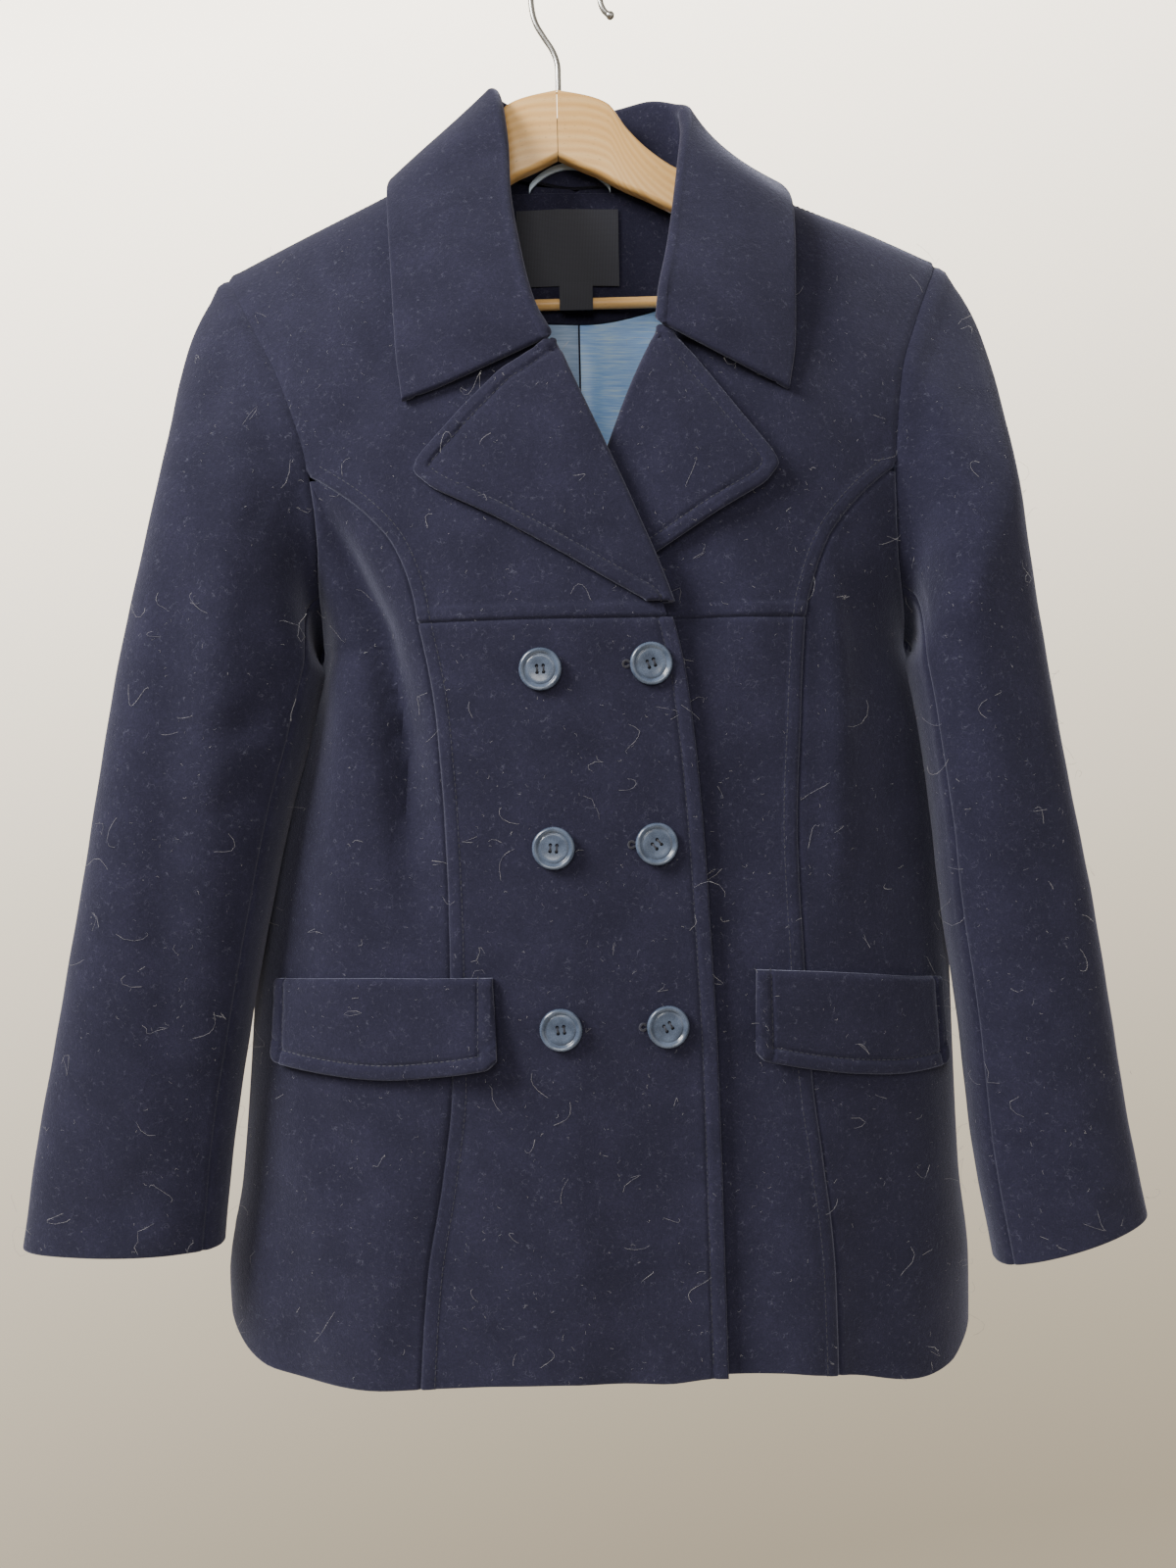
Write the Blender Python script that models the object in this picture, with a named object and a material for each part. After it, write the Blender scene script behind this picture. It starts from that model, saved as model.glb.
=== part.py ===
"""Pea coat on a wooden hanger: every cut piece of cloth is a thin closed wall.

Lengths are in millimetres in the tables and functions below; meshes are made in metres.
The origin is the inside top of the hanger's hook. +Z is up, the coat's front faces -Y,
and "left" and "right" are those of someone who looks at the front.
"""
import math
from collections import namedtuple

import bmesh
import bpy
import numpy as np
from mathutils import Vector

MM = 0.001
CLOTH = 2.5            # wool melton, one layer
HEAVY = 4.0            # collar, lapels and flaps: two layers turned and pressed
LINING = 1.2
SEAM = 0.15            # each piece stops this far short of the seam line
CLEAR = 0.4            # a layer lies this far off the one beneath it
LEAF_CLEAR = 1.0       # the collar's leaf and what it covers
INSIDE_CLEAR = 0.9     # the lining and the facing, inside the wool

HANGER_X = -10.0       # the hook and the hanger's middle
ARM_FORWARD = 2.5      # the arms lie this far in front of the shoulder ridge
RIDGE_SWEEP = 0.07     # the arms bend back by this much for each unit outwards
FRONT_ROUND = 140.0    # drop over which the front rounds out from the shoulder ridge
BACK_ROUND = 35.0
TIP_Z = -187.0         # shoulder tip, top of the armhole
PRINCESS_Z = -322.0    # where the princess seam leaves the armhole
YOKE_Z = -408.0        # cross seam of the front
UNDERARM_Z = -418.0
OVERLAP_DROP = 11.0     # room for the under lapel beneath the top front
UNDER_DROP = 3.4       # the under front below the top front's wall

FormRow = namedtuple("FormRow", "z left right front back")
SeamRow = namedtuple("SeamRow", "z left right")
EdgeRow = namedtuple("EdgeRow", "z roll outer")
RibRow = namedtuple("RibRow", "neck roll leaf crown")
SleeveRow = namedtuple("SleeveRow", "out_x out_z in_x in_z front back")
ArmRow = namedtuple("ArmRow", "reach left_top right_top depth")
FlapRow = namedtuple("FlapRow", "x top bottom")

# half-widths and depths of the closed coat at each level; above the underarm the
# half-widths run on past the armhole, so that the fronts meet the sleeves nearly flat
FORM = [
    FormRow(-60, 300, 300, 40, 8),
    FormRow(-120, 288, 290, 45, 13),
    FormRow(-187, 262, 268, 50, 19),
    FormRow(-240, 240, 252, 62, 22),
    FormRow(-290, 216, 234, 74, 23),
    FormRow(-340, 190, 219, 82, 24),
    FormRow(-388, 164, 200, 87, 24),
    FormRow(-418, 155.5, 191, 90, 24),
    FormRow(-440, 160.5, 196, 89, 24),
    FormRow(-471, 170, 203, 89, 24),
    FormRow(-512, 180.5, 207, 88, 24),
    FormRow(-564, 191, 209, 88, 24.5),
    FormRow(-608, 197.5, 211, 88, 25),
    FormRow(-660, 203.5, 214.5, 87, 25),
    FormRow(-727, 212, 218, 86, 25),
    FormRow(-783, 221, 223, 85, 25),
    FormRow(-845, 217, 222, 84, 25),
]

SHOULDER = [(-245, -203), (-211, -187), (-170, -168), (-110, -141), (-80, -126.5), (-66, -117.5),
            (-40, -113), (0, -112), (50, -116), (76, -127.5), (90, -134), (129, -151), (171, -167),
            (216, -186.5), (250, -202)]

HEM = [(-225, -803), (-214, -810), (-202, -818), (-186, -824), (-160, -826), (-98, -824), (-28, -820), (35, -823), (66, -820), (99, -820),
       (132, -825), (185, -835), (202, -833), (213, -826), (225, -816)]

ARMHOLE_FRONT = [
    SeamRow(-187, -211, 216), SeamRow(-229, -189, 197), SeamRow(-269, -169, 183),
    SeamRow(-322, -153, 177), SeamRow(-365, -149.5, 179), SeamRow(-388, -150.5, 183),
    SeamRow(-408, -153, 188), SeamRow(-418, -155.5, 191),
]

ARMHOLE_BACK = [
    SeamRow(-187, -211, 216), SeamRow(-229, -199, 209), SeamRow(-269, -189, 204),
    SeamRow(-322, -174, 198), SeamRow(-365, -162, 193), SeamRow(-388, -157, 190.5),
    SeamRow(-408, -154.8, 190), SeamRow(-418, -155.5, 191),
]

PRINCESS = [
    SeamRow(-322, -153, 177), SeamRow(-325, -148, 172.5), SeamRow(-345, -121, 150),
    SeamRow(-365, -104, 135), SeamRow(-388, -95, 126), SeamRow(-408, -91, 121),
    SeamRow(-460, -82, 117), SeamRow(-530, -78, 114), SeamRow(-600, -77, 116),
    SeamRow(-655, -77, 119), SeamRow(-710, -84, 125), SeamRow(-765, -93, 130),
    SeamRow(-845, -99, 132),
]

NECK_FRONT = [
    SeamRow(-117, -64, 74), SeamRow(-150, -61, 76), SeamRow(-197, -51, 69),
    SeamRow(-232, -36, 56), SeamRow(-250, -20, 46),
]

NECK_BACK = [SeamRow(-117, -66, 74), SeamRow(-124, -57, 66), SeamRow(-130, -42, 52),
             SeamRow(-134, -26, 36), SeamRow(-137, -1, 1)]

# the roll line, then the free edge of each front down to the hem
FRONT_EDGE = [
    SeamRow(-250, -18, 45), SeamRow(-288, -1, 27), SeamRow(-322, 14, 14),
    SeamRow(-353, 27, 1), SeamRow(-380, 38, -12), SeamRow(-408, 47.5, -24),
    SeamRow(-440, 54, -33), SeamRow(-500, 60, -38), SeamRow(-560, 63.5, -40),
    SeamRow(-655, 67, -40), SeamRow(-845, 69.5, -40),
]

LAPEL_LEFT = [
    EdgeRow(-262.5, -11.8, -31), EdgeRow(-269.5, -9, -43), EdgeRow(-290, 0, -64),
    EdgeRow(-318, 12.2, -88), EdgeRow(-326, 15.7, -91), EdgeRow(-336, 20, -80),
    EdgeRow(-353, 27, -46), EdgeRow(-370, 34, -16), EdgeRow(-386, 40.2, 10),
    EdgeRow(-400, 45, 34),
]

LAPEL_RIGHT = [
    EdgeRow(-255, 42.5, 55), EdgeRow(-263, 38.5, 62), EdgeRow(-290, 26.3, 82),
    EdgeRow(-318, 15.5, 103), EdgeRow(-326, 12.4, 107), EdgeRow(-336, 8.3, 99),
    EdgeRow(-353, 1, 70), EdgeRow(-370, -7, 43), EdgeRow(-384, -13.6, 20),
    EdgeRow(-396, -18.9, -4),
]

# each rib of the collar: its neck seam, its roll and its free edge, centre back to front end
COLLAR_LEFT = [
    RibRow((-1, 13, -136), (-3, 15, -94), (0, 27, -152), 0.06),
    RibRow((-26, 12.5, -131.3), (-26, 15, -90), (-34, 27, -152), 0.06),
    RibRow((-46, 11, -127), (-41, 13, -85), (-68, 26, -151), 0.05),
    RibRow((-57.5, 10.5, -122.3), (-46, 7, -83), (-94, 25, -146), 0.02),
    RibRow((-64.5, 3.5, -115.8), (-45, -3, -86), (-109, 7, -134), 0.0),
    RibRow((-63, -10, -121), (-42, -15, -100), (-110, -13, -144), 0.03),
    RibRow((-61.5, -20, -134), (-40, -24, -124), (-109, -27, -159), 0.06),
    RibRow((-58.5, -31, -158), (-38.5, -38, -155), (-107, -39, -182), 0.07),
    RibRow((-49.5, -45, -197), (-33, -52, -194), (-104.5, -49, -215), 0.07),
    RibRow((-35.5, -57, -230), (-25, -64, -229), (-102, -58, -251), 0.07),
    RibRow((-19.3, -63.5, -249.5), (-14.5, -70, -250.5), (-97.5, -66, -285), 0.06),
]

COLLAR_RIGHT = [
    RibRow((27, 13, -134), (22, 15, -90), (36, 27, -153), 0.06),
    RibRow((53, 11.5, -128.6), (44, 13, -86), (76, 26, -154), 0.04),
    RibRow((69, 9, -126), (58, 7, -91), (101, 26, -149.5), -0.04),
    RibRow((76, 1.5, -125.6), (63, -4, -99), (119, 9.5, -139), -0.08),
    RibRow((76.5, -9, -130), (63, -14, -114), (126, -12, -154), -0.02),
    RibRow((76.5, -20, -143), (61, -25, -135), (125.5, -27, -168), 0.05),
    RibRow((74.5, -32, -163), (57, -39, -162), (124.5, -39, -190), 0.07),
    RibRow((67.5, -45, -198), (51.5, -52, -196), (122.5, -49, -220), 0.07),
    RibRow((57, -56, -226), (45.5, -63, -224), (120.5, -57, -253), 0.07),
    RibRow((49, -62, -243), (43, -69, -243), (115.5, -65, -281), 0.06),
]

SLEEVE_LEFT = [
    SleeveRow(-243, -335, -155, -436, -83, 14),
    SleeveRow(-261.5, -418, -162, -471, -84, 4),
    SleeveRow(-272, -480.5, -173.5, -512, -83, -3),
    SleeveRow(-284.5, -547, -184, -564, -80, -6),
    SleeveRow(-299, -616, -195.5, -624, -76, -9),
    SleeveRow(-314.5, -693.5, -205, -693.5, -72, -12),
    SleeveRow(-325, -752, -212, -753, -68, -14),
]

SLEEVE_RIGHT = [
    SleeveRow(249, -338, 190.5, -438, -80, 14),
    SleeveRow(258, -412.5, 194.5, -473, -79, 6),
    SleeveRow(267, -480.5, 198.5, -514.5, -79, 0),
    SleeveRow(278, -547.5, 202, -566, -77, -3),
    SleeveRow(289, -618.5, 208, -628, -74, -6),
    SleeveRow(301, -692, 214, -700, -71, -9),
    SleeveRow(311, -746, 226, -772, -68, -12),
]

ARM = [
    ArmRow(0.2, -85, -85, 40), ArmRow(18, -88, -88, 45), ArmRow(30, -92.5, -92.5, 46),
    ArmRow(41, -108, -107, 37), ArmRow(53, -122, -119, 30), ArmRow(69, -132, -130, 26.5),
    ArmRow(110, -150, -147, 25), ArmRow(150, -168, -163, 24), ArmRow(171.9, -178, -172, 23),
    ArmRow(172, -178, -172, 42), ArmRow(184, -184.5, -177, 36), ArmRow(191, -192, -183, 24),
]

ARM_HALF = 5.6          # half the arm's thickness, and the bevel on its edges
ARM_BEVEL = 3.0
BAR_Y = 10.6            # the dowel bar, behind the arms' middle
BAR_RADIUS = 3.4
BAR_ENDS = (-208, -206)

LOOP_Y = 9.2            # the hanging loop, between the hanger and the collar's stand
LOOP_WIDE = 4.0
LOOP_FOOT = (-28, -136)
LOOP_SPAN = 49
LOOP_RISE = 14

# the facing's upper and lower edges, then the labels
FACING_TOP = [(-118, -150), (-80, -140), (-50, -138.5), (0, -139), (55, -138.5), (90, -146),
              (122, -156)]
FACING_LOW = [(-160, -178), (-110, -205), (-50, -214), (0, -217), (60, -205), (115, -182),
              (150, -170)]
FACING_X = [-118, -90, -60, -30, 0, 30, 62, 94, 122]
LINING_TOP = -217
LINING_DROP = 575
LINING_MARGIN = 26      # the lining stops this far short of the side seam
HOLE_MARGIN = 14        # and this far short of the armhole
PLEAT_GAP = 0.6
LABEL_X = (-36, -16, 5, 25)
LABEL_Z = (-149, -172, -194.5)
LABEL_THICK = 0.7
TAB_X = (-11, 9)
TAB_TOP = -195.5
TAB_DROP = 17
TAB_Y = 6.6
TAB_THICK = 0.8

FLAP_LEFT = [FlapRow(-176, -603, -650), FlapRow(-145, -601, -653), FlapRow(-112, -600, -654),
             FlapRow(-80, -600, -652), FlapRow(-53, -600, -648)]
FLAP_RIGHT = [FlapRow(88, -599, -648), FlapRow(118, -601, -654), FlapRow(148, -604, -658),
              FlapRow(176, -608, -661), FlapRow(197, -611, -661)]
FLAP_COLUMNS = 10

SLEEVE_START = 0.45     # the sleeve's head lies this far outside the armhole seam
SLEEVE_SEAMS = (10, 19)  # of its 24 points a ring
ROLL_BENEATH = 2.8      # the lapel's lower layer runs this far on past the roll
ROLL_OUT = 3.6          # the roll stands this far beyond its line
ROLL_INSIDE = 0.45
LAPEL_LIFT = {"left": 0.9, "right": 2.7}
LEAF_RISE = 0.8

BUTTONS = [(-24, -435), (35, -433), (-19, -531), (36, -530), (-17, -628), (40, -628)]
BUTTON_SEAT = 0.55
BUTTON_PROFILE = [(0.0, 0.0), (8.5, 0.0), (11.5, 1.6), (11.2, 3.3), (10.0, 4.2), (8.0, 2.9),
                  (0.0, 2.6)]

HOOK_PATH = [(-9, -84.4), (-9, -76), (-9.3, -67), (-12, -59), (-17, -51), (-21.5, -43),
             (-23.8, -34), (-24, -24), (-21.5, -13.5), (-16, -5), (-8.5, 0.2), (0, 1.7),
             (8, 0), (14.5, -5.5), (18, -13), (18.2, -21.5), (17, -29), (19.5, -36), (25, -40)]
HOOK_RADIUS = 1.7

WOOL = ("wool_melton", (0.028, 0.030, 0.055), 0.92, 0.0)
SATIN = ("lining_satin", (0.28, 0.44, 0.66), 0.42, 0.0)
LABEL = ("woven_label", (0.020, 0.021, 0.026), 0.65, 0.0)
BUTTON = ("button_resin", (0.060, 0.078, 0.115), 0.25, 0.0)
WOOD = ("beech_wood", (0.70, 0.44, 0.20), 0.40, 0.0)
STEEL = ("steel_wire", (0.55, 0.55, 0.56), 0.28, 1.0)


def curve(rows, at):
    """Smooth value of a table of (key, value) pairs that never swings past its rows."""
    keys = np.array([row[0] for row in rows], float)
    values = np.array([row[1] for row in rows], float)
    if keys[0] > keys[-1]:
        keys = keys[::-1]
        values = values[::-1]
    at = np.clip(np.asarray(at, float), keys[0], keys[-1])
    spans = np.diff(keys)
    slopes = np.diff(values) / spans
    tangents = np.zeros(len(keys))
    product = slopes[:-1] * slopes[1:]
    total = slopes[:-1] + slopes[1:]
    tangents[1:-1] = np.where(product > 0, 2 * product / np.where(total == 0, 1, total), 0)
    tangents[0] = slopes[0]
    tangents[-1] = slopes[-1]
    i = np.clip(np.searchsorted(keys, at, side="right") - 1, 0, len(spans) - 1)
    f = (at - keys[i]) / spans[i]
    return ((1 + 2 * f) * (1 - f) ** 2 * values[i] + f * (1 - f) ** 2 * spans[i] * tangents[i]
            + f * f * (3 - 2 * f) * values[i + 1] + f * f * (f - 1) * spans[i] * tangents[i + 1])


def column(rows, name):
    """One named column of a table, against its levels."""
    return [(row.z, getattr(row, name)) for row in rows]


def smooth(value):
    """Smooth step of a value held between 0 and 1."""
    value = min(max(value, 0.0), 1.0)
    return value * value * (3 - 2 * value)


def half_width(z, x):
    """Half the form's width at a level, on the side that x is on."""
    return float(curve(column(FORM, "left" if x < 0 else "right"), z))


def ridge_y(x):
    """The shoulder ridge, which bends back outwards."""
    return RIDGE_SWEEP * abs(x - HANGER_X)


def swell(x, y, z, face):
    """How far a point is outside the coat's form: below zero inside, above it outside."""
    depth = float(curve(column(FORM, face), z))
    reach = FRONT_ROUND if face == "front" else BACK_ROUND
    drop = float(curve(SHOULDER, x)) - z
    across = 1 - (x / half_width(z, x)) ** 4
    over = 1 - (1 - min(drop / reach, 1.0)) ** 2
    return ((y - ridge_y(x)) / depth) ** 2 - across * over


def skin_y(x, z, face):
    """The form's front or back at a place of its elevation."""
    depth = float(curve(column(FORM, face), z))
    reach = FRONT_ROUND if face == "front" else BACK_ROUND
    drop = float(curve(SHOULDER, x)) - z
    across = max(1 - (x / half_width(z, x)) ** 4, 0.0)
    over = max(1 - (1 - min(drop / reach, 1.0)) ** 2, 0.0)
    side = -1 if face == "front" else 1
    return ridge_y(x) + side * depth * math.sqrt(across * over)


def normal(x, y, z, face):
    """Outward direction of the form's surface."""
    step = 0.05
    out = Vector((swell(x + step, y, z, face) - swell(x - step, y, z, face),
                  swell(x, y + step, z, face) - swell(x, y - step, z, face),
                  swell(x, y, z + step, face) - swell(x, y, z - step, face)))
    return out.normalized()


def off_form(point, clearance):
    """A point moved out, where it must be, until it is clear of the form's surface."""
    point = point.copy()
    for _ in range(12):
        face = "front" if point.y < ridge_y(point.x) else "back"
        ahead = point + normal(*point, face) * 0.1
        rise = (swell(*ahead, face) - swell(*point, face)) / 0.1
        short = clearance - swell(*point, face) / rise
        if short < 0.01:
            break
        point += normal(*point, face) * short
    return point


def under_drop(x, z):
    """How far the right front lies below the form where the left front covers it."""
    edge = float(curve(column(FRONT_EDGE, "left"), z))
    deep = UNDER_DROP + (OVERLAP_DROP - UNDER_DROP) * smooth((z + 440) / 40)
    return deep * smooth((edge + 50 - x) / 46) * smooth((-255 - z) / 40)


def skin(x, z, face, lift=0.0, under=False):
    """A point of the form, moved out by lift along the surface's normal."""
    y = skin_y(x, z, face)
    point = Vector((x, y, z)) + normal(x, y, z, face) * lift
    if under:
        point.y += under_drop(x, z)
    return point


def grid_wall(name, top, bottom, finish, collection):
    """A closed wall between two grids of the same size, edges included."""
    rows = len(top)
    cols = len(top[0])
    mesh_form = bmesh.new()
    sheets = []
    for grid in (top, bottom):
        sheets.append([[mesh_form.verts.new(Vector(p) * MM) for p in row] for row in grid])
    for r in range(rows - 1):
        for c in range(cols - 1):
            for sheet in sheets:
                quad(mesh_form, sheet[r][c], sheet[r][c + 1], sheet[r + 1][c + 1], sheet[r + 1][c])
    rim = [(0, c) for c in range(cols)]
    rim += [(r, cols - 1) for r in range(1, rows)]
    rim += [(rows - 1, c) for c in range(cols - 2, -1, -1)]
    rim += [(r, 0) for r in range(rows - 2, 0, -1)]
    for (r0, c0), (r1, c1) in zip(rim, rim[1:] + rim[:1]):
        quad(mesh_form, sheets[0][r0][c0], sheets[0][r1][c1], sheets[1][r1][c1], sheets[1][r0][c0])
    return finish_mesh(name, mesh_form, finish, collection)


def quad(mesh_form, a, b, c, d):
    """Two triangles, so that every tool reads the same facets."""
    mesh_form.faces.new((a, b, c))
    mesh_form.faces.new((a, c, d))


def finish_mesh(name, mesh_form, finish, collection):
    """Turns the faces outwards and puts the mesh in the collection."""
    bmesh.ops.recalc_face_normals(mesh_form, faces=mesh_form.faces)
    mesh = bpy.data.meshes.new(name)
    mesh_form.to_mesh(mesh)
    mesh_form.free()
    mesh.shade_smooth()
    mesh.set_sharp_from_angle(angle=math.radians(40))
    return place(name, mesh, finish, collection)


def place(name, data, finish, collection):
    """An object of the given data, with its finish."""
    item = bpy.data.objects.new(name, data)
    item.data.materials.append(material(*finish))
    collection.objects.link(item)
    return item


def material(name, colour, roughness, metallic):
    """The finish of that name, made once."""
    made = bpy.data.materials.get(name)
    if made:
        return made
    made = bpy.data.materials.new(name)
    made.use_nodes = True
    shader = made.node_tree.nodes["Principled BSDF"]
    shader.inputs["Base Color"].default_value = (*colour, 1)
    shader.inputs["Roughness"].default_value = roughness
    shader.inputs["Metallic"].default_value = metallic
    return made


def span(z, start, end, count, bias=1.0):
    """Places across one level from start to end, evenly round the form's section."""
    wide = half_width(z, end if abs(end) > abs(start) else start)
    a = math.asin(max(-1, min(1, start / wide)))
    b = math.asin(max(-1, min(1, end / wide)))
    return [wide * math.sin(a + (b - a) * (i / count) ** bias) for i in range(count + 1)]


def cloth(name, rows, face, collection, thick=CLOTH, lift=0.0, finish=WOOL, under=False):
    """A wall of cloth whose outer face has the points in rows of (x, z), on the form."""
    outer = [[skin(x, z, face, lift, under) for x, z in row] for row in rows]
    inner = [[skin(x, z, face, lift - thick, under) for x, z in row] for row in rows]
    return grid_wall(name, outer, inner, finish, collection)


def shoulder_levels(side):
    """Stations along the shoulder seam, from the neck to the tip: (x, z) pairs."""
    start, end = (-68, -211) if side == "left" else (77, 216)
    stations = [start + (end - start) * f for f in (0, 0.12, 0.3, 0.52, 0.76, 1)]
    return [(x, float(curve(SHOULDER, x))) for x in stations]


ARMHOLE_LEVELS = [-208, -229, -250, -269, -295, -322, -325, -345, -365, -388, -408, -418]
LOWER_LEVELS = [-435, -462, -500, -545, -590, -625, -660, -705, -750, -792]


def seam_x(rows, side, z):
    """A seam's place at a level, on one side."""
    return float(curve(column(rows, side), z))


def outwards(side):
    """Sign of x away from the middle."""
    return -1 if side == "left" else 1


def shoulder_x(z, side):
    """Where the shoulder seam crosses a level."""
    near, far = (-60, -211) if side == "left" else (60, 216)
    for _ in range(30):
        middle = (near + far) / 2
        near, far = (middle, far) if float(curve(SHOULDER, middle)) > z else (near, middle)
    return near


def make_front_yoke(side, collection):
    """The upper front, from the shoulder seam to the cross seam."""
    out = outwards(side)
    rows = []
    for x, z in shoulder_levels(side):
        neck = seam_x(NECK_FRONT, side, z)
        rows.append([(p, z) for p in span(z, x - out * 0.05, neck + out * SEAM, 6, 1.7)])
    for z in ARMHOLE_LEVELS[:-1]:
        table = ARMHOLE_FRONT if z >= PRINCESS_Z else PRINCESS
        outer = seam_x(table, side, z) - out * SEAM
        edge_table = NECK_FRONT if z > -250 else FRONT_EDGE
        inner = seam_x(edge_table, side, z) + out * (3.2 if z <= -250 else SEAM)
        rows.append([(p, z) for p in span(z, outer, inner, 6)])
    rows[-1] = [(x, z + SEAM) for x, z in rows[-1]]
    outer = [[split_ridge(x, z, "front", side) for x, z in row] for row in rows]
    inner = [[split_ridge(x, z, "front", side, -CLOTH) for x, z in row] for row in rows]
    grid_wall("front_yoke_" + side, outer, inner, WOOL, collection)


def split_ridge(x, z, face, side, lift=0.0):
    """A point of an upper panel, held short of the shoulder seam it shares with its neighbour."""
    point = skin(x, z, face, lift, face == "front" and side == "right")
    if abs(float(curve(SHOULDER, x)) - z) < 0.5:
        point.y += -SEAM if face == "front" else SEAM
    return point


def make_front_lower(side, collection):
    """The front below the cross seam, between the princess seam and the free edge."""
    out = outwards(side)
    count = 4 if side == "left" else 6
    rows = []
    for z in [YOKE_Z - SEAM, -418] + LOWER_LEVELS + [None]:
        level = -820 if z is None else z
        outer = seam_x(PRINCESS, side, level) - out * SEAM
        inner = seam_x(FRONT_EDGE, side, level)
        places = [outer + (inner - outer) * i / count for i in range(count + 1)]
        rows.append([(x, float(curve(HEM, x)) if z is None else z) for x in places])
    cloth("front_lower_" + side, rows, "front", collection, under=side == "right")


def seam_angle_x(z, side, face):
    """The side seam's place, held short by the seam gap along the section."""
    wide = half_width(z, outwards(side))
    depth = float(curve(column(FORM, face), z))
    turn = math.pi / 2 - SEAM / (depth * math.sqrt(2))
    return outwards(side) * wide * math.sin(turn)


def make_side_front(side, collection):
    """The panel between the princess seam, the armhole and the side seam."""
    out = outwards(side)
    rows = []
    for z in ARMHOLE_LEVELS[6:] + LOWER_LEVELS + [None]:
        level = -828 if z is None else z
        inner = seam_x(PRINCESS, side, level) + out * SEAM
        outer = seam_angle_x(level, side, "front")
        if level >= UNDERARM_Z:
            outer = out * min(abs(seam_x(ARMHOLE_FRONT, side, level) - out * SEAM), abs(outer))
        places = span(level, inner, outer, 6)
        rows.append([(x, float(curve(HEM, x)) if z is None else z) for x in places])
    cloth("side_front_" + side, rows, "front", collection, under=side == "right")


def make_back(side, collection):
    """Half of the back, from the shoulder seam to the hem."""
    out = outwards(side)
    rows = []
    stations = shoulder_levels(side)
    stations += [(shoulder_x(z, side), z) for z in ((-124, -137) if side == "left" else (-132, -137.5))]
    for x, z in sorted(stations, key=lambda station: -station[1]):
        neck = seam_x(NECK_BACK, side, z) if z > -137 else out * SEAM
        rows.append([(p, z) for p in span(z, x - out * 0.05, neck, 8, 1.5)])
    for z in ARMHOLE_LEVELS + LOWER_LEVELS + [None]:
        level = -828 if z is None else z
        outer = seam_angle_x(level, side, "back")
        if level >= UNDERARM_Z:
            outer = out * min(abs(seam_x(ARMHOLE_BACK, side, level) - out * SEAM), abs(outer))
        places = span(level, outer, out * SEAM, 8)
        rows.append([(x, float(curve(HEM, x)) if z is None else z) for x in places])
    outer = [[split_ridge(x, z, "back", side) for x, z in row] for row in rows]
    inner = [[split_ridge(x, z, "back", side, -CLOTH) for x, z in row] for row in rows]
    grid_wall("back_" + side, outer, inner, WOOL, collection)


def armhole_loop(side):
    """The armhole seam: shoulder tip, down the front, underarm, and up the back."""
    out = outwards(side)
    tip_x, tip_z = shoulder_levels(side)[-1]
    loop = [(Vector((tip_x, ridge_y(tip_x), tip_z)), "front")]
    for z in ARMHOLE_LEVELS[:-1]:
        x = seam_x(ARMHOLE_FRONT, side, z)
        loop.append((skin(x, z, "front"), "front"))
    low = out * half_width(UNDERARM_Z, out)
    loop.append((Vector((low, ridge_y(low), UNDERARM_Z)), "front"))
    for z in ARMHOLE_LEVELS[-2::-1]:
        x = seam_x(ARMHOLE_BACK, side, z)
        loop.append((skin(x, z, "back"), "back"))
    return loop


def sleeve_ring(row, count):
    """One section of the sleeve: outer fold, front, inner fold, back."""
    ring = []
    mid_y = (row.front + row.back) / 2
    deep = (row.back - row.front) / 2
    for i in range(count):
        turn = 2 * math.pi * i / count
        across = (1 - math.cos(turn)) / 2
        swing = math.sin(turn)
        bow = math.copysign(abs(swing) ** 0.8, swing)
        ring.append(Vector((row.out_x + (row.in_x - row.out_x) * across, mid_y - deep * bow,
                            row.out_z + (row.in_z - row.out_z) * across)))
    return ring


def sleeve_grid(side):
    """Rings of the sleeve from the armhole to the cuff, and the way out at each point."""
    out = outwards(side)
    table = SLEEVE_LEFT if side == "left" else SLEEVE_RIGHT
    loop = armhole_loop(side)
    count = len(loop)
    rings = [sleeve_ring(row, count) for row in table]
    start = [point + Vector((out * SLEEVE_START, 0, 0)) for point, _ in loop]
    blend = []
    for f in (0.0, 0.14, 0.4, 0.7):
        ring = []
        for i in range(count):
            a = start[i]
            b = rings[0][i]
            reach = (b - a).length
            top = max(math.cos(2 * math.pi * i / count), 0.0)
            leave = Vector((out, 0, -0.35 - 0.55 * top)).normalized() * reach * 0.85
            arrive = (rings[1][i] - b).normalized() * reach * 0.9
            ring.append(a * (1 + 2 * f) * (1 - f) ** 2 + leave * f * (1 - f) ** 2
                        + b * f * f * (3 - 2 * f) + arrive * f * f * (f - 1))
        blend.append(ring)
    return blend + rings, [normal(*point, face) for point, face in loop]


def ring_normals(rings, out, seam_normals):
    """Outward normals of the sleeve; at the armhole they follow the coat where it folds down."""
    count = len(rings[0])
    found = []
    for k, ring in enumerate(rings):
        low = rings[max(k - 1, 0)]
        high = rings[min(k + 1, len(rings) - 1)]
        row = []
        for i in range(count):
            around = ring[(i + 1) % count] - ring[i - 1]
            along = high[i] - low[i]
            way = around.cross(along).normalized() * out
            if k == 0:
                leave = (rings[1][i] - ring[i]).normalized()
                if leave.dot(seam_normals[i]) < 0.05 and way.dot(seam_normals[i]) > 0.3:
                    way = seam_normals[i]
            row.append(way)
        found.append(row)
    return found


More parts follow.
